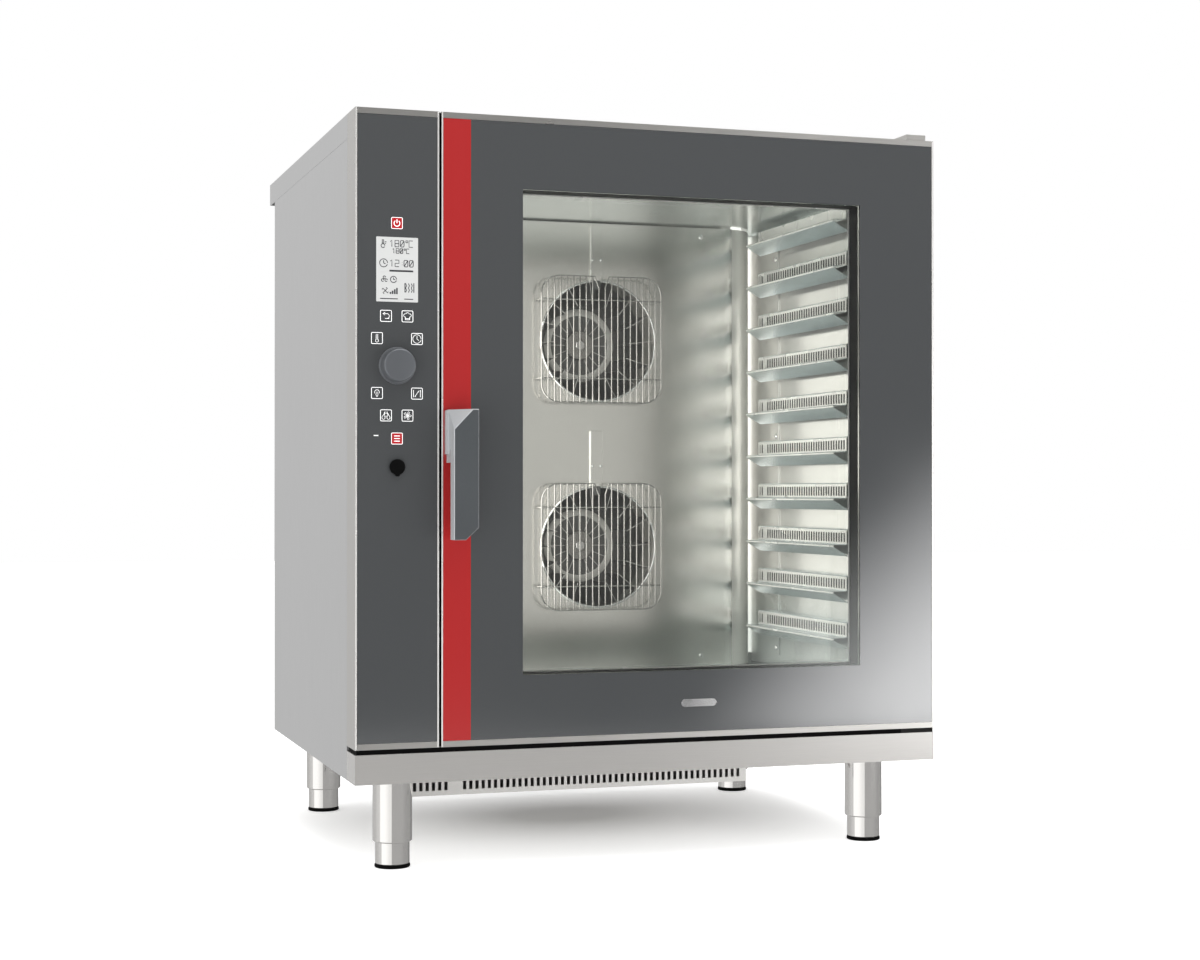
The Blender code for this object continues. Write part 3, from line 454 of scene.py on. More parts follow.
BOARD = surface("circuit_board", (0.02, 0.13, 0.05), 0.42, 0.0, 260, 0.25, 40.0, 0.08, 0.3, 0.0004)
WOOL = surface("mineral_wool", (0.55, 0.48, 0.3), 0.95, 0.0, 160, 0.22, 20.0, 0.03, 0.9, 0.003)
ELEMENT = surface("heating_element", (0.17, 0.15, 0.14), 0.42, 1.0, 120, 0.25, 15.0, 0.08, 0.1)
MOTOR = surface("motor_casing", (0.11, 0.115, 0.12), 0.48, 0.4, 300, 0.1, 20.0, 0.06, 0.3, 0.0002)
LAMP = surface("lamp_glass", (0.9, 0.87, 0.78), 0.25, 0.0, 400, 0.03, 20.0, 0.03, 0.05)
# Dark paint for the window lining, also used to make the lower hinge bracket black as painted shade.
SHROUD_AND_SHADE = surface("window_shroud_and_painted_shade", (0.01, 0.0095, 0.009), 0.55, 0.0, 500, 0.1, 12.0, 0.04, 0.0, specular=0.12)
KNOB = surface("satin_knob", (0.118, 0.125, 0.135), 0.34, 0.55, 900, 0.02, 12.0, 0.02, 0.0)
GRIP = surface("handle_face", (0.078, 0.085, 0.091), 0.34, 0.5, 900, 0.06, 12.0, 0.04, 0.06)
GRIP_EDGE = surface("handle_edge", (0.46, 0.47, 0.485), 0.36, 0.35, 900, 0.05, 12.0, 0.04, 0.05)
CHROME = surface("chrome", (0.8, 0.8, 0.8), 0.1, 1.0, 300, 0.02, 30.0, 0.02, 0.0)
# Black rubber of the probe port and the feet, also used for the black strips that paint shade in gaps and behind slots.
PORT_AND_SHADE = surface("port_rubber_and_painted_shade", (0.003, 0.003, 0.003), 0.6, 0.0, 700, 0.1, 30.0, 0.04, 0.05, specular=0.03)
# Painted shade: the chamber steel turns darker and bluish near the floor and the ceiling.
shade_chamber_ends(INNER_STEEL, (0.68, 0.735, 0.735))
CLEAR = pane("clear_glass", (0.97, 0.972, 0.966), 0.0)
INNER_CLEAR = pane("inner_glass", (0.975, 0.98, 0.975), 0.01)


# ---------------------------------------------------------------- casing
LIP = 0.0023             # visible width of the bright upright lips


def dress(node, material, edge=0.0006):
    """Gives a CAD node its material and rounds its edges."""
    obj = nodes[node]
    obj.data.materials.clear()
    obj.data.materials.append(material)
    if edge:
        whole = obj.modifiers.new("flat faces", "DECIMATE")
        whole.decimate_type = "DISSOLVE"
        whole.angle_limit = math.radians(1)
        soften(obj, edge)


def make_casing():
    for name, material, edge in (
        ("side_panel_left", SIDE_STEEL, 0.0007), ("side_panel_right", SIDE_STEEL, 0.0007),
        ("top_cover", SIDE_STEEL, 0.0007), ("rear_panel", SIDE_STEEL, 0.0007), ("base_frame", PLINTH_STEEL, 0.0008),
        ("control_housing", FRONT_STEEL, 0.0006), ("door_frame", FRONT_STEEL, 0.0006),
        ("door_inner_panel", INNER_STEEL, 0.0006), ("cavity_shell", INNER_STEEL, 0.0005),
        # The lower hinge bracket is made black: painted shade on a steel bracket seen only in the gap.
        ("hinge_bracket_top", FRONT_STEEL, 0.0008), ("hinge_bracket_bottom", SHROUD_AND_SHADE, 0.0008),
    ):
        dress(name, material, edge)
    # The bright upright lips of control housing and door.
    for name, body, low, high, starts in (
        ("housing_lips", "cabinet", HOUSING_LOW, HOUSING_HIGH, (0.0003, -0.003)),
        ("door_lips", "door", DOOR_LOW, DOOR_HIGH, (0.0007, -0.0028)),
    ):
        spans = [
            ((x, FRONT - 0.0002, low.z + 0.0006), (x + LIP, FRONT + 0.0006, high.z - 0.0006))
            for x in (low.x + starts[0], high.x + starts[1])
        ]
        boxes(name, spans, UPRIGHT_STEEL, body, 0.00015)
    # Black strips in the gap between them: painted shade on the door's side face and front edge and on the housing's
    # edge.
    low, high = DOOR_LOW.z + 0.001, DOOR_HIGH.z - 0.001
    x = DOOR_LOW.x - 0.00005
    side_shade = (x - 0.00025, FRONT + 0.0008, low), (x, DOOR_HIGH.y - 0.001, high)
    rim = (x, FRONT - 0.0001, low), (x + 0.00065, FRONT + 0.0009, high)
    boxes("door_gap_shade", [side_shade, rim], PORT_AND_SHADE, "door")
    x = HOUSING_HIGH.x
    low, high = HOUSING_LOW.z + 0.001, HOUSING_HIGH.z - 0.001
    rim = (x - 0.0006, FRONT - 0.0001, low), (x + 0.0001, FRONT + 0.012, high)
    boxes("housing_gap_shade", [rim], PORT_AND_SHADE, "cabinet")
    # Black strips in the gap under the housing, along its front and left side: painted shade.
    low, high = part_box("base_frame")[1].z + 0.0003, HOUSING_LOW.z - 0.0004
    strips = [
        ((LEFT + 0.003, FRONT + 0.003, low), (LEFT + 0.932, FRONT + 0.005, high)),
        ((LEFT + 0.003, FRONT + 0.0052, low), (LEFT + 0.005, HOUSING_HIGH.y - 0.001, high)),
    ]
    boxes("gap_shade_strips", strips, PORT_AND_SHADE, "cabinet")


def make_rear():
    low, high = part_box("rear_panel")
    rear = high.y
    hoods = bmesh.new()
    for first in (0.05, 0.52, 0.64):
        for row in range(5):
            z = 0.98 + 0.022 * row
            x = LEFT + first
            profile = [(rear - 0.0008, z + 0.0135), (rear + 0.0045, z + 0.0062), (rear + 0.0052, z + 0.0048),
                       (rear + 0.0046, z + 0.0046), (rear + 0.0037, z + 0.0058), (rear - 0.0008, z + 0.012)]
            add_prism(hoods, profile, "x", (x - 0.002, x + 0.092))
    to_object("louvre_hoods", hoods, SIDE_STEEL, "cabinet", smooth=40)
    places = [
        Vector((x, rear, z))
        for x in (low.x + 0.012, (low.x + high.x) / 2, high.x - 0.012)
        for z in (low.z + 0.02, (low.z + high.z) / 2, high.z - 0.02)
    ]
    screws("rear_screws", places, "y", 0.0042, CHROME, "cabinet", side=1)
    plate = bmesh.new()
    outline = rounded_rectangle((LEFT + 0.24, 0.46), 0.055, 0.035, 0.004)
    add_prism(plate, outline, "y", (rear + 0.0001, rear + 0.0007))
    to_object("blank_rating_plate", plate, CHROME, "cabinet")

    pipe_low, pipe_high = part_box("drain_pipe")
    radius = 0.0165
    axis_z = pipe_low.z + radius
    end = pipe_high.y
    x = MIDDLE_X
    path = [Vector((x, FRONT + 0.3, pipe_high.z)), Vector((x, FRONT + 0.3, axis_z + 0.018))]
    path += [Vector((x, y, z)) for y, z in arc((FRONT + 0.318, axis_z + 0.018), 0.018, 180, 270, 10)[1:]]
    path += [Vector((x, end - 0.03, axis_z))]
    drain = wires("drain_tube", [path], radius - 0.0002, GREY, "cabinet", roundness=6)
    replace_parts(drain, "drain_pipe")
    turned(
        "drain_end", Vector((x, end, axis_z)), "y",
        mm((0, -28), (13.2, -28), (13.2, -0.5), (13.6, 0), (15.8, 0), (16.4, -0.6), (16.4, -12), (16, -12.4),
           (16, -30.5), (0, -30.5)),
        GREY, "cabinet",
    )
    dress("water_valve", GREY, 0.0)
    inlet = centre_of("water_valve")
    inlet.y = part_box("water_valve")[1].y
    thread = [(0.0, -0.02), (0.011, -0.02), (0.011, -0.0185)]
    for turn in range(9):
        start = -0.018 + 0.0019 * turn
        thread += [(0.0125, start + 0.0004), (0.0125, start + 0.0009), (0.0114, start + 0.0014)]
    thread += mm((11.2, -0.2), (10.6, 0.3), (8, 0.3), (7.8, -12), (0, -12))
    turned("water_thread", inlet, "y", thread, CHROME, "cabinet")

    centre = centre_of("cable_gland")
    centre.y = rear
    gland = bmesh.new()
    add_turned(
        gland, centre, "y",
        mm((0, -15), (11.2, -15), (11.2, 0.4), (16.5, 0.4), (16.8, 1.2), (16.8, 6), (15, 7.2), (12.4, 7.4),
           (12.4, 15), (11.2, 18.5), (8.6, 20), (6.2, 20), (6, 12), (0, 12)),
        48,
    )
    for i in range(12):
        spin = Matrix.Rotation(2 * math.pi * i / 12, 4, "Y")
        rib = Matrix.Translation(centre) @ spin @ Matrix.Translation((0.0126, 0.0115, 0))
        bmesh.ops.create_cube(gland, size=1.0, matrix=rib @ Matrix.Diagonal((0.0012, 0.008, 0.0022, 1.0)))
    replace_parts(to_object("gland_body", gland, BLACK, "cabinet", smooth=35), "cable_gland")


def make_top():
    low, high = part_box("vent_chimney")
    centre = centre_of("vent_chimney")
    centre.z = 0
    outer, inner = 0.0249, 0.023
    tube = turned(
        "chimney_tube", centre, "z",
        [(inner, high.z - 0.0006), (inner + 0.0005, high.z), (outer - 0.0005, high.z), (outer, high.z - 0.0006),
         (outer, low.z), (inner, low.z), (inner, high.z - 0.0006)],
        UPRIGHT_STEEL, "cabinet", 72,
    )
    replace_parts(tube, "vent_chimney")
    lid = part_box("top_cover")
    turned(
        "chimney_collar", centre + Vector((0, 0, lid[1].z)), "z",
        mm((25.2, 0.3), (38.5, 0.3), (38.5, 1.2), (29, 2), (27, 4.8), (25.2, 4.8), (25.2, 0.3)),
        UPRIGHT_STEEL, "cabinet", 72,
    )
    places = [centre + Vector((0.034 * math.cos(a), 0.034 * math.sin(a), lid[1].z + 0.001))
              for a in (math.radians(45 + 90 * i) for i in range(4))]
    screws("collar_screws", places, "z", 0.0028, CHROME, "cabinet", side=1)


# ---------------------------------------------------------------- base and legs
def make_legs():
    for corner in ("front_left", "front_right", "rear_left", "rear_right"):
        low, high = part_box(f"leg_sleeve_{corner}")
        centre = centre_of(f"leg_sleeve_{corner}")
        centre.z = 0
        radius = (high.x - low.x) / 2
        sleeve = turned(
            f"sleeve_{corner}", centre, "z",
            [(0.0, high.z), (radius - 0.0006, high.z), (radius, high.z - 0.0006), (radius, low.z + 0.0012),
             (radius - 0.001, low.z), (0.0105, low.z), (0.0105, low.z + 0.03), (0.0, low.z + 0.03)],
            LEG_STEEL, "cabinet", 96,
        )
        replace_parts(sleeve, f"leg_sleeve_{corner}")
        _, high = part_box(f"foot_{corner}")
        body = f"levelling_{corner}"
        barrel, shoulder = 0.0275, 0.041      # radius of the barrel, and the height of its top edge
        foot = turned(
            f"foot_barrel_{corner}", centre, "z",
            [(0.0, high.z), (0.0094, high.z), (0.0098, high.z - 0.0006), (0.0098, shoulder),
             (barrel - 0.0008, shoulder), (barrel, shoulder - 0.0008), (barrel, 0.0068), (barrel - 0.0008, 0.0057),
             (0.0, 0.0057)],
            LEG_STEEL, body, 96,
        )
        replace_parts(foot, f"foot_{corner}")
        pad = turned(
            f"foot_pad_{corner}", centre, "z",
            mm((0, 5.6), (26.2, 5.6), (27.8, 5), (28.4, 3.6), (28.4, 1), (27.6, 0), (0, 0)),
            PORT_AND_SHADE, body, 96,
        )


def make_vent_box():
    """The tray under the base: a slotted front strip, plain bottom, sides and back."""
    low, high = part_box("underside_vent_box")
    slots = [low.x + 0.0145 + 0.0105 * i for i in range(56)]
    plain = (6, 7)
    edges, holes = [low.x + 0.0006], set()
    for i, x in enumerate(slots):
        if i in plain or x + 0.006 > high.x - 0.012:
            continue
        edges += [x, x + 0.0056]
        holes.add(len(edges) - 2)
    edges.append(high.x - 0.0006)
    front, back = low.y + 0.0006, high.y - 0.0006
    levels = [high.z - 0.0006, high.z - 0.003, low.z + 0.0085, low.z + 0.0008]
    rows = [[Vector((x, front, z)) for x in edges] for z in levels]
    rows.append([Vector((x, back, low.z + 0.0008)) for x in edges])
    rows.append([Vector((x, back, high.z - 0.0006)) for x in edges])
    tray = sheet("slotted_vent_tray", rows, VENT_STEEL, "cabinet", 0.0012,
                 skip=lambda row, column: row == 1 and column in holes)
    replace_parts(tray, "underside_vent_box")
    ends = []
    for x in (low.x + 0.0006, high.x - 0.0006):
        ends.append(((x - 0.0006, front + 0.0008, low.z + 0.0016), (x + 0.0006, back - 0.0008, high.z - 0.0004)))
    boxes("vent_tray_ends", ends, VENT_STEEL, "cabinet")
    lining = (low.x + 0.002, low.y + 0.03, high.z - 0.0022), (high.x - 0.002, high.y - 0.002, high.z - 0.0008)
    boxes("vent_tray_screen", [lining], DARK_STEEL, "cabinet")


# ---------------------------------------------------------------- oven chamber
def make_baffle():
    """The fan baffle: one sheet with rounded side bends and two ringed inlets."""
    left, right = BAFFLE_LOW.x + 0.001, BAFFLE_HIGH.x - 0.001
    front, rear = BAFFLE_LOW.y + 0.001, BAFFLE_HIGH.y
    radius = 0.073
    path = [(left, rear)]
    path += arc((left + radius, front + radius), radius, 180, 270, 20)
    path += arc((right - radius, front + radius), radius, 270, 360, 20)
    path += [(right, rear)]
    rows = [[Vector((x, y, z)) for x, y in path] for z in (BAFFLE_LOW.z, BAFFLE_HIGH.z)]
    baffle = sheet("baffle_sheet", rows, BAFFLE_STEEL, None, 0.0016)
    cutters = []
    for z in FAN_HEIGHTS:
        solid = bmesh.new()
        bmesh.ops.create_cone(
            solid, cap_ends=True, segments=128, radius1=INLET, radius2=INLET, depth=0.08,
            matrix=Matrix.Translation((MIDDLE_X, front, z)) @ AXES["y"],
        )
        cutters.append(to_object("inlet_cutter", solid, None))
    carve(baffle, cutters)
    baffle.data.materials.append(BEND_STEEL)
    for face in baffle.data.polygons:
        face.material_index = int(abs(face.normal.x) > 0.2)
    baffle.data.shade_smooth()
    baffle.data.set_sharp_from_angle(angle=math.radians(30))
    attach(baffle, "cabinet")
    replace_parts(baffle, "fan_baffle")
    rings = bmesh.new()
    for z in FAN_HEIGHTS:
        add_turned(
            rings, Vector((MIDDLE_X, front, z)), "y",
            [(INLET + 0.0022, -0.0009), (INLET + 0.0012, -0.0012), (INLET, -0.0008), (INLET - 0.0016, 0.0012),
             (INLET - 0.0022, 0.0045), (INLET - 0.0022, 0.011), (INLET - 0.0012, 0.011), (INLET - 0.0004, 0.002),
             (INLET + 0.0022, -0.0009)],
            128,
        )
    to_object("inlet_rings", rings, BAFFLE_STEEL, "cabinet", smooth=60)
    beads = [[Vector((a, front - 0.0006, b)) for a, b in circle((MIDDLE_X, z), INLET, 128)] for z in FAN_HEIGHTS]
    wires("inlet_beads", beads, 0.0019, CHROME, "cabinet", True, 4)
    places = [
        Vector((x, front - 0.0009, z))
        for x in (left + radius + 0.006, right - radius - 0.047)
        for z in (BAFFLE_LOW.z + 0.02, BAFFLE_HIGH.z - 0.018)
    ]
    screws("baffle_screws", places, "y", 0.004, CHROME, "cabinet")


def make_guards():
    for level in ("upper", "lower"):
        low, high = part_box(f"fan_guard_{level}")
        x, _, z = centre_of(f"fan_guard_{level}")
        half = (high.x - low.x) / 2 - 0.0016
        corner = 0.034
        face = low.y + 0.0034
        rim = rounded_rectangle((x, z), half, half, corner, 8)
        # The rim is open at the notch in the middle of its upper side.
        top, wide, narrow, deep = z + half, 0.0139, 0.0062, 0.021
        split = 2 * 9
        ends = [(x - wide, top), (x - narrow, top - deep)], [(x + narrow, top - deep), (x + wide, top)]
        rim = rim[split:] + rim[:split]
        paths, closed = [[Vector((a, face, b)) for a, b in (*reversed(ends[0]), *rim, *reversed(ends[1]))]], [False]
        count = 18
        for i in range(count):
            across = -half + (i + 1) * 2 * half / (count + 1)
            reach = half
            past = abs(across) - (half - corner)
            if past > 0:
                reach = half - corner + math.sqrt(max(corner * corner - past * past, 0.0))
            up = half - deep if abs(across) < 0.01 else reach
            wire_y = low.y + 0.0015
            paths.append([Vector((x + across, wire_y, z - reach)), Vector((x + across, wire_y, z + up))])
            closed.append(False)
        for height in (z + 0.073, z - 0.073):
            reach = half + 0.0012
            back = BAFFLE_LOW.y - 0.0002
            paths.append([
                Vector((x - reach, back, height)), Vector((x - reach, face + 0.004, height)),
                Vector((x - reach + 0.004, face + 0.0012, height)), Vector((x + reach - 0.004, face + 0.0012, height)),
                Vector((x + reach, face + 0.004, height)), Vector((x + reach, back, height)),
            ])
            closed.append(False)
        guard = wires(f"wire_guard_{level}", paths, 0.0013, WIRE_STEEL, "cabinet", closed)
        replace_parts(guard, f"fan_guard_{level}")


def make_impellers():
    for level in ("upper", "lower"):
        node = f"impeller_{level}"
        low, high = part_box(node)
        z = centre_of(node).z
        body = f"fan_{level}"
        radius = (high.z - low.z) / 2
        back = FRONT + 0.66
        front = low.y
        centre = Vector((MIDDLE_X, back, z))
        plate = turned(
            f"fan_plate_{level}", centre, "y",
            [(0.0, 0.0062), (0.01, 0.0062), (0.01, 0.0018), (radius - 0.001, 0.0018), (radius - 0.0004, 0.0006),
             (radius - 0.001, -0.0008), (0.0, -0.0006)],
            DARK_STEEL, body, 96,
        )
        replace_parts(plate, node)
        turned(
            f"fan_cone_{level}", centre, "y",
            mm((57.2, -0.8), (57.2, -5.2), (59, -5.6), (68, -4), (70, -2.6), (70.4, -0.8), (57.2, -0.8)),
            CONE_STEEL, body, 96,
        )
        turned(
            f"fan_hub_{level}", centre, "y",
            mm((0, -0.5), (28.5, -0.5), (28.5, -7), (26.5, -9.4), (12, -9.8), (11.5, -8.2), (0, -8.2)),
            WIRE_STEEL, body, 72,
        )
        nut = bmesh.new()
        bmesh.ops.create_cone(
            nut, cap_ends=True, segments=6, radius1=0.0095, radius2=0.0095, depth=0.005,
            matrix=Matrix.Translation(centre + Vector((0, -0.01, 0))) @ AXES["y"],
        )
        soften(to_object(f"fan_nut_{level}", nut, CHROME, body), 0.0008)
        spokes = bmesh.new()
        for i in range(16):
            spin = Matrix.Translation(centre) @ Matrix.Rotation(2 * math.pi * i / 16, 4, "Y")
            lean = Matrix.Translation((0.0428, -0.002, 0))
            bmesh.ops.create_cube(spokes, size=1.0, matrix=spin @ lean @ Matrix.Diagonal((0.028, 0.0016, 0.0011, 1)))
        to_object(f"fan_spokes_{level}", spokes, CONE_STEEL, body)
        turned(
            f"fan_well_{level}", centre, "y",
            mm((28.7, -0.7), (56.5, -0.7), (56.5, -1), (28.7, -1), (28.7, -0.7)),
            DARK_STEEL, body, 72,
        )
        blades, edges = bmesh.new(), []
        count, inner, outer, thickness = 16, 0.074, radius - 0.005, 0.0012
        for i in range(count):
            start = 2 * math.pi * i / count
            line = []
            for step in range(6):
                share = step / 5
                away = inner + (outer - inner) * share
                angle = start + 0.05 * share
                line.append((MIDDLE_X + away * math.cos(angle), z + away * math.sin(angle), angle))
            outline = [
                (px - offset * math.sin(a), pz + offset * math.cos(a))
                for offset, along in ((thickness / 2, line), (-thickness / 2, line[::-1])) for px, pz, a in along
            ]
            add_prism(blades, outline, "y", (front + 0.004, back - 0.001))
            edges.append([Vector((px, front + 0.0042, pz)) for px, pz, _ in line])
        to_object(f"fan_blades_{level}", blades, DARK_STEEL, body, smooth=30)
        # Lighter wires along the dark blades' front edges: painted highlights.
        wires(f"fan_blade_edge_highlights_{level}", edges, 0.0006, CONE_STEEL, body, roundness=2)
        turned(
            f"fan_ring_{level}", Vector((MIDDLE_X, front, z)), "y",
            [(radius - 0.0085, 0.0036), (radius - 0.0085, 0.0006), (radius - 0.007, 0.0002), (radius, 0.0002),
             (radius, 0.0034), (radius - 0.0008, 0.004), (radius - 0.0008, 0.0014), (radius - 0.007, 0.0014),
             (radius - 0.0077, 0.0036), (radius - 0.0085, 0.0036)],
            IMPELLER_STEEL, body, 96,
        )


def make_spray_channels():
    for level in ("upper", "lower"):
        low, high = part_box(f"spray_channel_{level}")
        x0, x1 = low.x, high.x
        back, front = high.y, low.y
        strip = boxes(f"water_channel_{level}", [(low, high)], BAFFLE_STEEL, "cabinet", 0.0007)
        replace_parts(strip, f"spray_channel_{level}")
        edge = (x0 - 0.0001, front - 0.0003, low.z + 0.0005), (x0 + 0.0016, front + 0.002, high.z - 0.0005)
        boxes(f"channel_edge_{level}", [edge], FIN_STEEL, "cabinet", 0.0003)
        places = [Vector((x, front, low.z + 0.038)) for x in (x0 + 0.0045, x1 - 0.0035)]
        screws(f"channel_screws_{level}", places, "y", 0.0022, CHROME, "cabinet")
        tab = (x0 + 0.0045, front - 0.0002, low.z - 0.016), (x1 - 0.0045, back - 0.001, low.z - 0.0002)
        boxes(f"spray_tab_{level}", [tab], DARK_STEEL, "cabinet", 0.0004)


def rail_section():
    """The rail's folded section: distance from the wall and height over the tray level, and the slotted row."""
    points = [(0.0008, 0.0272), *arc((0.0228, 0.025), 0.0022, 90, 0, 4)]
    points += [(0.025, 0.0215), (0.025, 0.0055)]
    points += arc((0.0275, 0.0033), 0.0025, 180, 270, 4)
    points += arc((0.0478, -0.0012), 0.0021, 90, -57, 7)
    points += [(0.0212, -0.0188)]
    return points, points.index((0.025, 0.0215))


def make_racks():
    section, slotted = rail_section()
    for side, name in ((1, "right"), (-1, "left")):
        low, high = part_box(f"rack_{name}")
        wall = high.x if side == 1 else low.x
        start, end = low.y, high.y
        edges, holes = [start, start + 0.004], set()
        for i in range(33):
            y = start + 0.0065 + 0.0105 * i
            edges += [y, y + 0.006]
            holes.add(len(edges) - 2)
        for y in (end - 0.0215, end - 0.011):
            edges += [y, y + 0.006]
            holes.add(len(edges) - 2)
        edges.append(end)
        pieces = []
        for i in range(10):
            level = 1.0627 - 0.08 * i
            rows = [[Vector((wall - side * away, y, level + up)) for y in edges] for away, up in section]
            rail = sheet(
                f"rail_{name}_{i + 1:02d}", rows, RAIL_SHADE_STEEL, "cabinet", 0.0007,
                skip=lambda row, column: i > 0 and row == slotted and column in holes,
            )
            # Upright faces take the light steel and all other faces the darker bluish copy: painted shade.
            rail.data.materials.append(FIN_STEEL)
            for face in rail.data.polygons:
                face.material_index = int(abs(face.normal.x) > 0.9)
            pieces.append(rail)
        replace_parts(pieces[0], f"rack_{name}")
        # Dark strips behind the rails' slots: painted shade, so the slots read dark.
        shade_strips = []
        for i in range(1, 10):
            level = 1.0627 - 0.08 * i
            x0, x1 = sorted((wall - side * 0.02, wall - side * 0.0212))
            shade_strips.append(((x0, start + 0.004, level + 0.0045), (x1, end - 0.004, level + 0.024)))
        boxes(f"rail_shade_strips_{name}", shade_strips, PORT_AND_SHADE, "cabinet")
        straps, studs = [], []
        for y in (start + 0.0167, start + 0.3487):
            x0, x1 = sorted((wall, wall - side * 0.0018))
            straps.append(((x0, y, 0.286), (x1, y + 0.024, 1.0925)))
            studs += [Vector((wall - side * 0.0018, y + 0.012, z)) for z in (0.3, 0.7, 1.035)]
        boxes(f"rack_straps_{name}", straps, INNER_STEEL, "cabinet", 0.0003)
        screws(f"rack_screws_{name}", studs, "x", 0.0042, CHROME, "cabinet", side=-side)


def make_chamber_fittings():
    centre = centre_of("lamp_housing")
    centre.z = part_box("lamp_housing")[0].z + 0.007
    lens = turned(
        "lamp_lens", centre, "z",
        mm((0, 30), (18, 30), (20, 0), (21.5, -4.2), (17, -6), (10, -6.8), (0, -7)),
        LAMP, "cabinet", 64,
    )
    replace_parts(lens, "lamp_housing")
    turned(
        "lamp_ring", centre, "z",
        mm((21.8, -0.4), (27.8, -0.4), (28, -1.4), (26.6, -3.6), (23, -5.2), (21.8, -4.4), (21.8, -0.4)),
        CHROME, "cabinet", 64,
    )
    for name in ("heater_upper", "heater_lower"):
        z = centre_of(name).z
        reach, half = 0.157, 0.022
        gap = math.degrees(math.asin(half / reach))
        y = FRONT + 0.6
        ring = arc((MIDDLE_X, z), reach, 180 - gap, -180 + gap, 72)
        x = MIDDLE_X - reach
        steps = (FRONT + 0.69, y + 0.012, y + 0.004)
        path = [Vector((x, away, z + half)) for away in steps]
        path += [Vector((a, y, b)) for a, b in ring[1:-1]]
        path += [Vector((x, away, z - half)) for away in reversed(steps)]
        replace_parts(wires(f"element_{name}", [path], 0.0041, ELEMENT, "cabinet"), name)
    low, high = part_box("door_gasket")
    middle = centre_of("door_gasket").xz
    half_x, half_z = (high.x - low.x) / 2 - 0.0062, (high.z - low.z) / 2 - 0.0062
    loop = rounded_rectangle(middle, half_x, half_z, 0.01, 8)
    y = low.y + 0.0064
    bulb = wires("gasket_bulb", [[Vector((a, y, b)) for a, b in loop]], 0.006, RUBBER, "cabinet", True, 6)
    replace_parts(bulb, "door_gasket")
    foot = bmesh.new()
    outer = rounded_rectangle(middle, half_x + 0.004, half_z + 0.004, 0.012, 8)
    inner = rounded_rectangle(middle, half_x - 0.004, half_z - 0.004, 0.008, 8)
    add_frame(foot, outer, inner, (y + 0.003, high.y - 0.0001))
    to_object("gasket_foot", foot, RUBBER, "cabinet")


def add_frame(solid, outer, inner, span):
    """Adds a flat ring between two outlines of equally many points, along Y between the ends of span."""
    loops = [[solid.verts.new((a, y, b)) for a, b in outline] for y in span for outline in (outer, inner)]
    count = len(outer)
    for one, two in ((0, 1), (1, 3), (3, 2), (2, 0)):
        for i in range(count):
            j = (i + 1) % count
            solid.faces.new([loops[one][i], loops[one][j], loops[two][j], loops[two][i]])


# ---------------------------------------------------------------- door
def make_door():
    y = (GLASS_LOW.y, GLASS_HIGH.y)
    stripe = boxes(
        "red_stripe_print", [((GLASS_LOW.x, y[0], GLASS_LOW.z), (STRIPE_RIGHT, y[1], GLASS_HIGH.z))], RED, "door",
    )
    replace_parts(stripe, "door_glass_outer")
    solid = bmesh.new()
    outer = rectangle(Vector((STRIPE_RIGHT, 0, GLASS_LOW.z)), GLASS_HIGH)
    add_frame(solid, outer, rectangle(WINDOW_LOW, WINDOW_HIGH), y)
    border = to_object("door_print", solid, PRINT, "door")
    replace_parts(border, "door_glass_outer")
    clear = boxes("door_window", [((WINDOW_LOW.x, y[0], WINDOW_LOW.z), (WINDOW_HIGH.x, y[1], WINDOW_HIGH.z))],
                  CLEAR, "door")
    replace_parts(clear, "door_glass_outer")
    dress("door_glass_inner", INNER_CLEAR, 0.0)

    # The dark lining of the window between the two glasses.
    depth = (GLASS_HIGH.y + 0.0035, FRONT + 0.04)
    for name, material, near, far, span in (
        ("window_lining", SHROUD_AND_SHADE, 0.0001, 0.0012, depth),
        ("window_trim", FIN_STEEL, 0.0013, 0.0032, (depth[1] - 0.0014, depth[1])),
    ):
        solid = bmesh.new()
        add_frame(solid, rectangle(WINDOW_LOW, WINDOW_HIGH, near), rectangle(WINDOW_LOW, WINDOW_HIGH, far), span)
        to_object(name, solid, material, "door")
    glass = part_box("door_glass_inner")
    clips = []
    for x, out in ((glass[0].x + 0.006, -1), (glass[1].x - 0.006, 1)):
        for z in (glass[0].z + 0.12, glass[1].z - 0.12):
            clips.append(((x - 0.007, glass[1].y + 0.0001, z - 0.018), (x + 0.007, glass[1].y + 0.0025, z + 0.018)))
    boxes("glass_clips", clips, UPRIGHT_STEEL, "door", 0.0006)

    badge = bmesh.new()
    centre = (LEFT + 0.5625, 0.2545)
    add_prism(badge, rounded_rectangle(centre, 0.03, 0.0062, 0.006, 8), "y", (y[0] - 0.0012, y[0] - 0.00005))
    soften(to_object("blank_badge", badge, CHROME, "door"), 0.0004)


def make_handle():
    """The grip is a light body with a dark face set in its front, and the latch on the same spindle."""
    body = clone("door_handle", "handle_body", GRIP_EDGE, "handle", 0.0009)
    near = min(vertex.co.y for vertex in body.data.vertices)
    for vertex in body.data.vertices:
        if vertex.co.y < near + 0.0001:
            vertex.co.y += 0.0002
    low, high = HANDLE_LOW, HANDLE_HIGH
    left = low.x + 0.003
    margin, thin = 0.0013, 0.0004
    face = low.y
    outline = [
        (left + margin, low.z + thin), (left + 0.019 - thin * 0.4, low.z + thin),
        (high.x - thin, low.z + 0.019 + thin * 0.4), (high.x - thin, high.z - margin),
        (left + 0.0296 + margin * 0.4, high.z - margin), (left + margin, high.z - 0.031 - margin * 0.4),
    ]
    solid = bmesh.new()
    add_prism(solid, outline, "y", (face, face + 0.0006))
    to_object("handle_face", solid, GRIP, "handle")
    dress("latch_hook", UPRIGHT_STEEL, 0.0004)
    dress("latch_strike", UPRIGHT_STEEL, 0.0004)
    return body


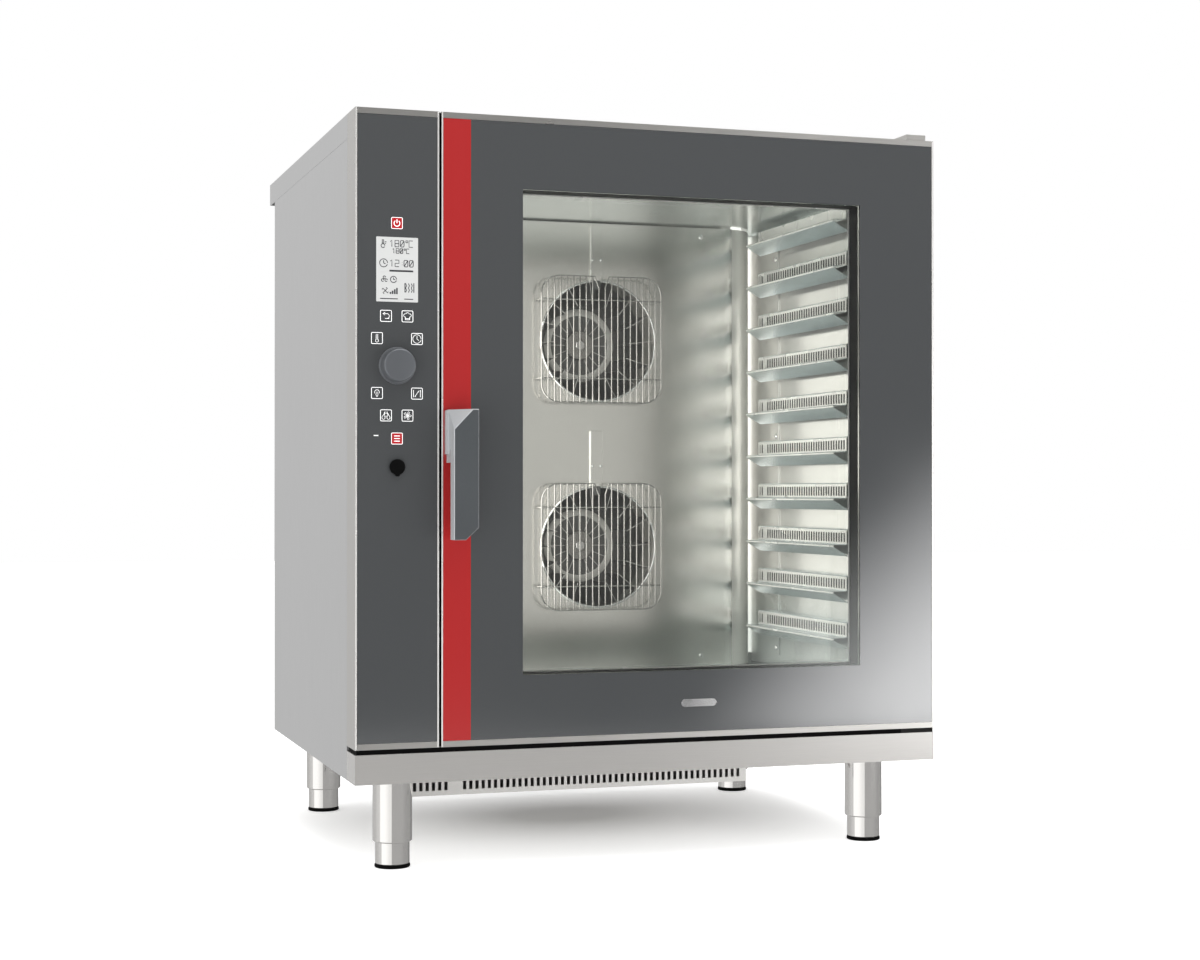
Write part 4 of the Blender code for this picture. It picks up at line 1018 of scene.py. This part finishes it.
# ---------------------------------------------------------------- controls
def marks(name, lines, centre, width, material, closed=False):
    """Printed lines: each is a list of (across, up) points in millimetres from the centre."""
    face = PANEL_LOW.y - FLUSH
    paths = [[Vector((centre[0] + a * MM, face, centre[1] + b * MM)) for a, b in line] for line in lines]
    return wires(name, paths, width / 2, material, "cabinet", closed, 1, flatten=face)


def circle(centre, radius, steps=20):
    return arc(centre, radius, 0, 360 - 360 / steps, steps - 1)


DIGITS = {
    "0": [[(0.1, 0), (0.5, 0), (0.6, 0.15), (0.6, 0.85), (0.5, 1), (0.1, 1), (0, 0.85), (0, 0.15), (0.1, 0)],
          [(0.05, 0.1), (0.55, 0.9)]],
    "1": [[(0.1, 0.8), (0.35, 1), (0.35, 0)]],
    "2": [[(0, 1), (0.6, 1), (0.6, 0.5), (0, 0.5), (0, 0), (0.6, 0)]],
    "8": [[(0, 0), (0.6, 0), (0.6, 1), (0, 1), (0, 0)], [(0, 0.5), (0.6, 0.5)]],
    "C": [[(0.6, 1), (0, 1), (0, 0), (0.6, 0)]],
    ":": [[(0.28, 0.28), (0.28, 0.32)], [(0.28, 0.68), (0.28, 0.72)]],
    "o": [[(0.05, 0.7), (0.35, 0.7), (0.35, 1), (0.05, 1), (0.05, 0.7)]],
}


def digits(text, left, base, height):
    """Strokes of a text on the display, in millimetres from its lower left corner."""
    lines = []
    for character in text:
        for line in DIGITS[character]:
            lines.append([(left + a * height, base + b * height) for a, b in line])
        left += height * (0.55 if character in ":o" else 0.85)
    return lines


def make_display():
    low, high = at(0.0327, 0, 0.8874), at(0.0983, 0, 0.9872)
    face = PANEL_LOW.y - 0.0001
    solid = bmesh.new()
    middle = ((low.x + high.x) / 2, (low.z + high.z) / 2)
    add_prism(solid, rounded_rectangle(middle, (high.x - low.x) / 2, (high.z - low.z) / 2, 0.0012, 4), "y",
              (face, PANEL_LOW.y + 0.0001))
    to_object("lcd_face", solid, LCD, "cabinet")
    corner = (low.x, low.z)
    thin = digits("180oC", 21.0, 85.0, 9.8) + digits("180oC", 25.0, 75.0, 7.2) + digits("12:00", 21.0, 54.5, 10.0)
    thin += [circle((11.5, 59.5), 6.2), [(11.5, 63.5), (11.5, 59.5), (14.5, 58.0)]]
    thin += [circle((10.5, 86.0), 3.0, 12), [(9.4, 88.8), (9.4, 95.0), (11.6, 95.0), (11.6, 88.8)],
             [(13.5, 92), (16, 92)], [(13.5, 89.5), (15, 89.5)]]
    thin += [circle((10.0, 33.0), 2.0, 10), circle((15.5, 33.0), 2.0, 10), circle((12.7, 37.5), 2.0, 10),
             circle((27.0, 34.5), 4.8), [(27.0, 37.5), (27.0, 34.5), (29.5, 34.5)]]
    for x in (46.0, 50.5, 55.0):
        thin.append([(x, 15.0), (x + 1.5, 18.5), (x, 22.0), (x + 1.5, 25.5), (x, 29.0)])
    thin += [[(45.0, 15.0), (45.0, 29.5)], [(59.0, 15.0), (59.0, 29.5)]]
    for i in range(4):
        a = math.radians(45 + 90 * i)
        thin.append([(14.0, 17.0), (14.0 + 5 * math.cos(a), 17.0 + 5 * math.sin(a)),
                     (14.0 + 5 * math.cos(a + 0.5), 17.0 + 5 * math.sin(a + 0.5))])
    marks("lcd_marks", thin, corner, 0.0015, LCD_INK)
    bars = [((20.5, 46.5), (58.0, 49.2))]
    bars += [((21.0 + 3.4 * i, 12.0), (23.4 + 3.4 * i, 15.0 + 2.2 * i)) for i in range(4)]
    bars += [((6.0, 4.0), (34.0, 5.4)), ((44.0, 4.0), (58.0, 5.4))]
    spans = [
        tuple((low.x + a * MM, y, low.z + b * MM) for (a, b), y in zip(bar, (face - 0.0001, face + 0.00005)))
        for bar in bars
    ]
    boxes("lcd_bars", spans, LCD_INK, "cabinet")


def make_keys():
    """Flush touch keys: a white rounded frame with its sign, two of them on a red ground."""
    signs = {
        "back": ((0.048, 0.8655), [
            [(5.0, -4.0), (-1.5, -4.0)], arc((1.5, -0.3), 3.7, -90, 90, 10), [(1.5, 3.4), (-4.5, 3.4)],
            [(-1.6, 5.6), (-4.8, 3.4), (-1.6, 1.2)]]),
        "hat": ((0.0817, 0.8655), [
            [(-3.6, -5.2), (3.6, -5.2)], [(-3.6, -3.4), (3.6, -3.4)], [(-3.4, -5.0), (-3.4, -0.6)],
            [(3.4, -5.0), (3.4, -0.6)], arc((-3.6, 1.6), 2.4, 260, 80, 8), arc((0, 3.0), 2.8, 160, 20, 8),
            arc((3.6, 1.6), 2.4, 100, -80, 8)]),
        "core": ((0.0339, 0.831), [
            arc((0, -4.0), 2.3, 120, 420, 12), [(-1.2, -2.0), (-1.2, 6.0)], [(1.2, -2.0), (1.2, 6.0)]]),
        "timer": ((0.0967, 0.831), [circle((0, 0), 6.6, 24), [(0, 4.2), (0, 0), (3.0, -2.4)]]),
        "lamp": ((0.034, 0.7466), [
            arc((0, 1.4), 3.6, -40, 220, 14), [(-1.8, -1.6), (-1.4, -3.6), (1.4, -3.6), (1.8, -1.6)],
            [(-1.2, -5.2), (1.2, -5.2)], [(0, 2.2), (0, -1.8)]]),
        "vent": ((0.0967, 0.7466), [
            [(-5.4, -5.6), (-5.4, 5.6)], [(5.4, -5.6), (5.4, 5.6)], [(-3.4, -4.6), (3.4, 4.6)],
            [(-3.4, -4.6), (-1.6, -4.8)]]),
        "steam": ((0.0481, 0.7124), [
            arc((-3.9, -3.6), 2.5, -230, 50, 12), arc((3.9, -3.6), 2.5, 130, 410, 12), arc((0, 1.2), 2.5, -50, 230, 12),
            [(-5.4, -1.6), (-1.4, 5.8)], [(5.4, -1.6), (1.4, 5.8)], [(-1.9, -2.0), (-0.6, -1.0)],
            [(1.9, -2.0), (0.6, -1.0)]]),
        "fan": ((0.0818, 0.7124), [
            [(0.6 * math.cos(t), 0.6 * math.sin(t)), (3.4 * math.cos(t + 0.35), 3.4 * math.sin(t + 0.35)),
             (6.2 * math.cos(t + 0.1), 6.2 * math.sin(t + 0.1)), (5.6 * math.cos(t - 0.35), 5.6 * math.sin(t - 0.35)),
             (0.6 * math.cos(t), 0.6 * math.sin(t))]
            for t in [2 * math.pi * i / 5 for i in range(5)]]),
    }
    line, thin, thick = 0.001, 0.00075, 0.0014
    key = rounded_rectangle((0, 0), 8.6, 8.6, 1.6, 4)
    for name, ((x, z), strokes) in signs.items():
        centre = (LEFT + x, z)
        marks(f"key_frame_{name}", [key], centre, line, WHITE_PRINT, True)
        marks(f"key_sign_{name}", strokes, centre, thin, WHITE_PRINT)
    red = {
        "power": ((0.0651, 1.009), [arc((0, -0.4), 4.6, 125, 415, 18), [(0, 5.6), (0, 0.0)]]),
        "start": ((0.0653, 0.6769), [[(-4.6, up), (4.6, up)] for up in (4.0, 0.0, -4.0)]),
    }
    for name, ((x, z), strokes) in red.items():
        centre = (LEFT + x, z)
        ground = bmesh.new()
        add_prism(ground, rounded_rectangle(centre, 0.0087, 0.0087, 0.0016, 4), "y",
                  (PANEL_LOW.y - 0.00008, PANEL_LOW.y + 0.00005))
        to_object(f"key_ground_{name}", ground, RED_KEY, "cabinet")
        marks(f"key_frame_{name}", [key], centre, line, WHITE_PRINT, True)
        marks(f"key_sign_{name}", strokes, centre, thick, WHITE_PRINT)
    marks("small_mark", [[(-3.6, 0), (3.6, 0)]], (LEFT + 0.0325, 0.6813), 0.0016, WHITE_PRINT)


def make_controls():
    dress("control_glass", PRINT, 0.0)
    make_display()
    make_keys()
    x, _, z = centre_of("control_knob")
    front, back = (corner.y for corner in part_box("control_knob"))
    depth = front - back
    knob = turned(
        "turned_knob", Vector((x, back, z)), "y",
        [(0.0, 0.0), (0.0284, 0.0), (0.0287, -0.0006), (0.0287, -0.002), (0.0281, -0.0028), (0.0266, -0.0032),
         (0.0262, -0.0042), (0.0262, -0.0058), (0.0266, -0.0064), (0.0264, -0.008), (0.025, depth + 0.0024),
         (0.0243, depth + 0.001), (0.0232, depth + 0.0003), (0.0216, depth + 0.0001), (0.0, depth + 0.0004)],
        KNOB, "knob", 128, 25,
    )
    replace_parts(knob, "control_knob")
    centre = centre_of("probe_socket")
    centre.y = FRONT
    collar = turned(
        "socket_collar", centre, "y",
        mm((0, 30), (8.5, 30), (8.9, 0), (11.4, -0.1), (11.7, -0.8), (11.4, -2), (10, -2.2), (5.3, -2.2), (5.2, 18),
           (0, 18)),
        PORT_AND_SHADE, "cabinet", 64,
    )
    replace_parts(collar, "probe_socket")
    cap = turned(
        "cap_disc", centre, "y",
        mm((0, 0.4), (3.8, 0.4), (3.8, -2.5), (11.6, -2.5), (12.1, -3.2), (12.1, -4.8), (11.4, -5.8), (9.8, -6.1),
           (0, -6)),
        PORT_AND_SHADE, "socket_cap", 64,
    )
    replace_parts(cap, "probe_cap")
    tab = bmesh.new()
    add_prism(tab, rounded_rectangle((centre.x, centre.z - 0.011), 0.0036, 0.0035, 0.0024, 6), "y",
              (FRONT - 0.0054, FRONT - 0.0029))
    soften(to_object("cap_pull_tab", tab, PORT_AND_SHADE, "socket_cap"), 0.0005)


def make_inner_works():
    for name, material in (
        ("insulation_wrap", WOOL), ("power_board", BOARD), ("control_board", BOARD), ("display_module", BLACK),
        ("knob_encoder", BLACK), ("vent_actuator", BLACK), ("vent_flap", UPRIGHT_STEEL), ("cavity_probe", WIRE_STEEL),
        ("cooling_fan_frame", BLACK), ("cooling_fan_rotor", BLACK), ("fan_motor_upper", MOTOR),
        ("fan_motor_lower", MOTOR),
    ):
        dress(name, material, 0.0)


# ---------------------------------------------------------------- floor, light and camera
def make_stage():
    mesh = bpy.data.meshes.new("floor")
    solid = bmesh.new()
    bmesh.ops.create_grid(solid, x_segments=1, y_segments=1, size=14.0)
    solid.to_mesh(mesh)
    solid.free()
    floor = bpy.data.objects.new("floor", mesh)
    bpy.context.scene.collection.objects.link(floor)
    material = bpy.data.materials.new("pale_floor")
    material.use_nodes = True
    tree, shader = material.node_tree, shader_of(material)
    shader.inputs["Base Color"].default_value = (0.9, 0.9, 0.895, 1.0)
    shader.inputs["Roughness"].default_value = 0.75
    shader.inputs["Specular IOR Level"].default_value = 0.2
    # Painted light and shadow: the floor glows faintly under the oven and more strongly farther away, which whites out
    # the far floor and shapes the shadow under the oven.
    shader.inputs["Emission Color"].default_value = (1, 1, 1, 1)
    coordinates = tree.nodes.new("ShaderNodeTexCoord")
    mapping = tree.nodes.new("ShaderNodeMapping")
    mapping.inputs["Location"].default_value = (0, -0.15, 0)
    mapping.inputs["Scale"].default_value = (0.85, 1.25, 1.0)
    distance = tree.nodes.new("ShaderNodeVectorMath")
    distance.operation = "LENGTH"
    tree.links.new(coordinates.outputs["Object"], mapping.inputs["Vector"])
    tree.links.new(mapping.outputs["Vector"], distance.inputs[0])
    tree.links.new(spread(tree, distance.outputs["Value"], 0.008, 0.8, 0.08, 0.72), shader.inputs["Emission Strength"])
    mesh.materials.append(material)
    floor.location.z = -0.0004
    floor.visible_glossy = False
    floor.visible_shadow = False


def add_light(name, place, target, size, energy, colour=(1, 1, 1), seen=True):
    lamp = bpy.data.lights.new(name, "AREA")
    lamp.shape = "RECTANGLE"
    lamp.size, lamp.size_y = size
    lamp.energy = energy
    lamp.color = colour
    obj = bpy.data.objects.new(name, lamp)
    bpy.context.scene.collection.objects.link(obj)
    place = Vector(place)
    turn = (Vector(target) - place).to_track_quat("-Z", "Y")
    obj.matrix_world = Matrix.Translation(place) @ turn.to_matrix().to_4x4()
    obj.visible_camera = False
    obj.visible_glossy = seen
    return obj


ROOM_LIGHT = 0.65        # strength of the room's light away from its patches
WARM = (1, 0.98, 0.95)   # colour of the small fill lights


def make_world():
    """A white room: plain white where it is seen, and a softly uneven studio in light and reflections."""
    world = bpy.data.worlds.new("studio")
    bpy.context.scene.world = world
    world.use_nodes = True
    tree = world.node_tree
    tree.nodes.clear()
    coordinates = tree.nodes.new("ShaderNodeTexCoord")

    def lobe(azimuth, elevation, near, far, strength):
        """A soft patch of light around a direction: full inside near, none past far, in degrees."""
        a, e = math.radians(azimuth), math.radians(elevation)
        direction = (math.sin(a) * math.cos(e), -math.cos(a) * math.cos(e), math.sin(e))
        dot = tree.nodes.new("ShaderNodeVectorMath")
        dot.operation = "DOT_PRODUCT"
        dot.inputs[1].default_value = direction
        tree.links.new(coordinates.outputs["Generated"], dot.inputs[0])
        far, near = math.cos(math.radians(far)), math.cos(math.radians(near))
        return spread(tree, dot.outputs["Value"], 0.0, strength, far, near, "SMOOTHSTEP")

    split = tree.nodes.new("ShaderNodeSeparateXYZ")
    tree.links.new(coordinates.outputs["Generated"], split.inputs["Vector"])
    horizon = math.sin(math.radians(-7.1)), math.sin(math.radians(-6.4))
    above = spread(tree, split.outputs["Z"], 0.0, 1.0, *horizon, "SMOOTHSTEP")
    total = lobe(0, 90, 10, 100, 0.35)
    for patch in (
        lobe(-52, -4, 33, 39, 1.0), lobe(-80, 0, 15, 55, 0.5), lobe(-168, 0, 35, 60, 0.17),
        combine(tree, "MULTIPLY", lobe(18, 2, 11, 26, -0.48), above),
        combine(tree, "MULTIPLY", lobe(46, -20, 22, 28.5, 7.0), above),
        lobe(150, 0, 20, 45, -0.22), lobe(105, 5, 25, 60, -0.12),
    ):
        total = combine(tree, "ADD", total, patch)
    light = tree.nodes.new("ShaderNodeBackground")
    tree.links.new(combine(tree, "ADD", total, ROOM_LIGHT), light.inputs["Strength"])
    white = tree.nodes.new("ShaderNodeBackground")
    white.inputs["Strength"].default_value = 1.0
    white.inputs["Color"].default_value = (1, 1, 1, 1)
    path = tree.nodes.new("ShaderNodeLightPath")
    mix = tree.nodes.new("ShaderNodeMixShader")
    out = tree.nodes.new("ShaderNodeOutputWorld")
    tree.links.new(path.outputs["Is Camera Ray"], mix.inputs["Fac"])
    tree.links.new(light.outputs["Background"], mix.inputs[1])
    tree.links.new(white.outputs["Background"], mix.inputs[2])
    tree.links.new(mix.outputs["Shader"], out.inputs["Surface"])


def make_lights():
    make_world()
    add_light("overhead", (0.3, -0.6, 3.4), (0, 0, 0.4), (3.2, 3.2), 95)
    low, high = WINDOW_LOW, WINDOW_HIGH
    middle = Vector(((low.x + high.x) / 2, WINDOW_REAR + 0.006, (low.z + high.z) / 2))
    size = (high.x - low.x, high.z - low.z)
    add_light("chamber_fill", middle, middle + Vector((0, 1, 0)), size, 0.6, (1, 0.97, 0.93))
    place = at(0.292, 0.35, 0.685)
    add_light("side_fill", place, place + Vector((1, 0, 0)), (0.38, 0.62), 3.1, WARM)
    for z in FAN_HEIGHTS:
        place = Vector((MIDDLE_X, BAFFLE_LOW.y + 0.01, z))
        add_light("fan_fill", place, place + Vector((0, 1, 0)), (0.19, 0.19), 0.12, WARM, seen=False)
    for x in (BAFFLE_HIGH.x - 0.003, BAFFLE_LOW.x + 0.003):
        place = Vector((x, BAFFLE_HIGH.y + 0.016, middle.z))
        add_light("baffle_gap", place, place - Vector((0, 1, 0)), (0.03, 0.82), 0.15, WARM)


def make_camera():
    """The view from the front left, a little below the middle of the door."""
    data = bpy.data.cameras.new("camera")
    data.sensor_width = 36.0
    data.lens = 60.35
    camera = bpy.data.objects.new("camera", data)
    bpy.context.scene.collection.objects.link(camera)
    camera.location = at(-0.6041, -3.0401, 0.5942)
    camera.rotation_euler = (math.radians(90.349), 0.0, math.radians(-18.181))
    bpy.context.scene.camera = camera


bpy.context.scene.view_settings.view_transform = "Standard"
make_camera()
make_stage()
make_lights()
make_casing()
make_rear()
make_top()
make_legs()
make_vent_box()
make_baffle()
make_guards()
make_impellers()
make_spray_channels()
make_racks()
make_chamber_fittings()
make_door()
make_handle()
make_controls()
make_inner_works()
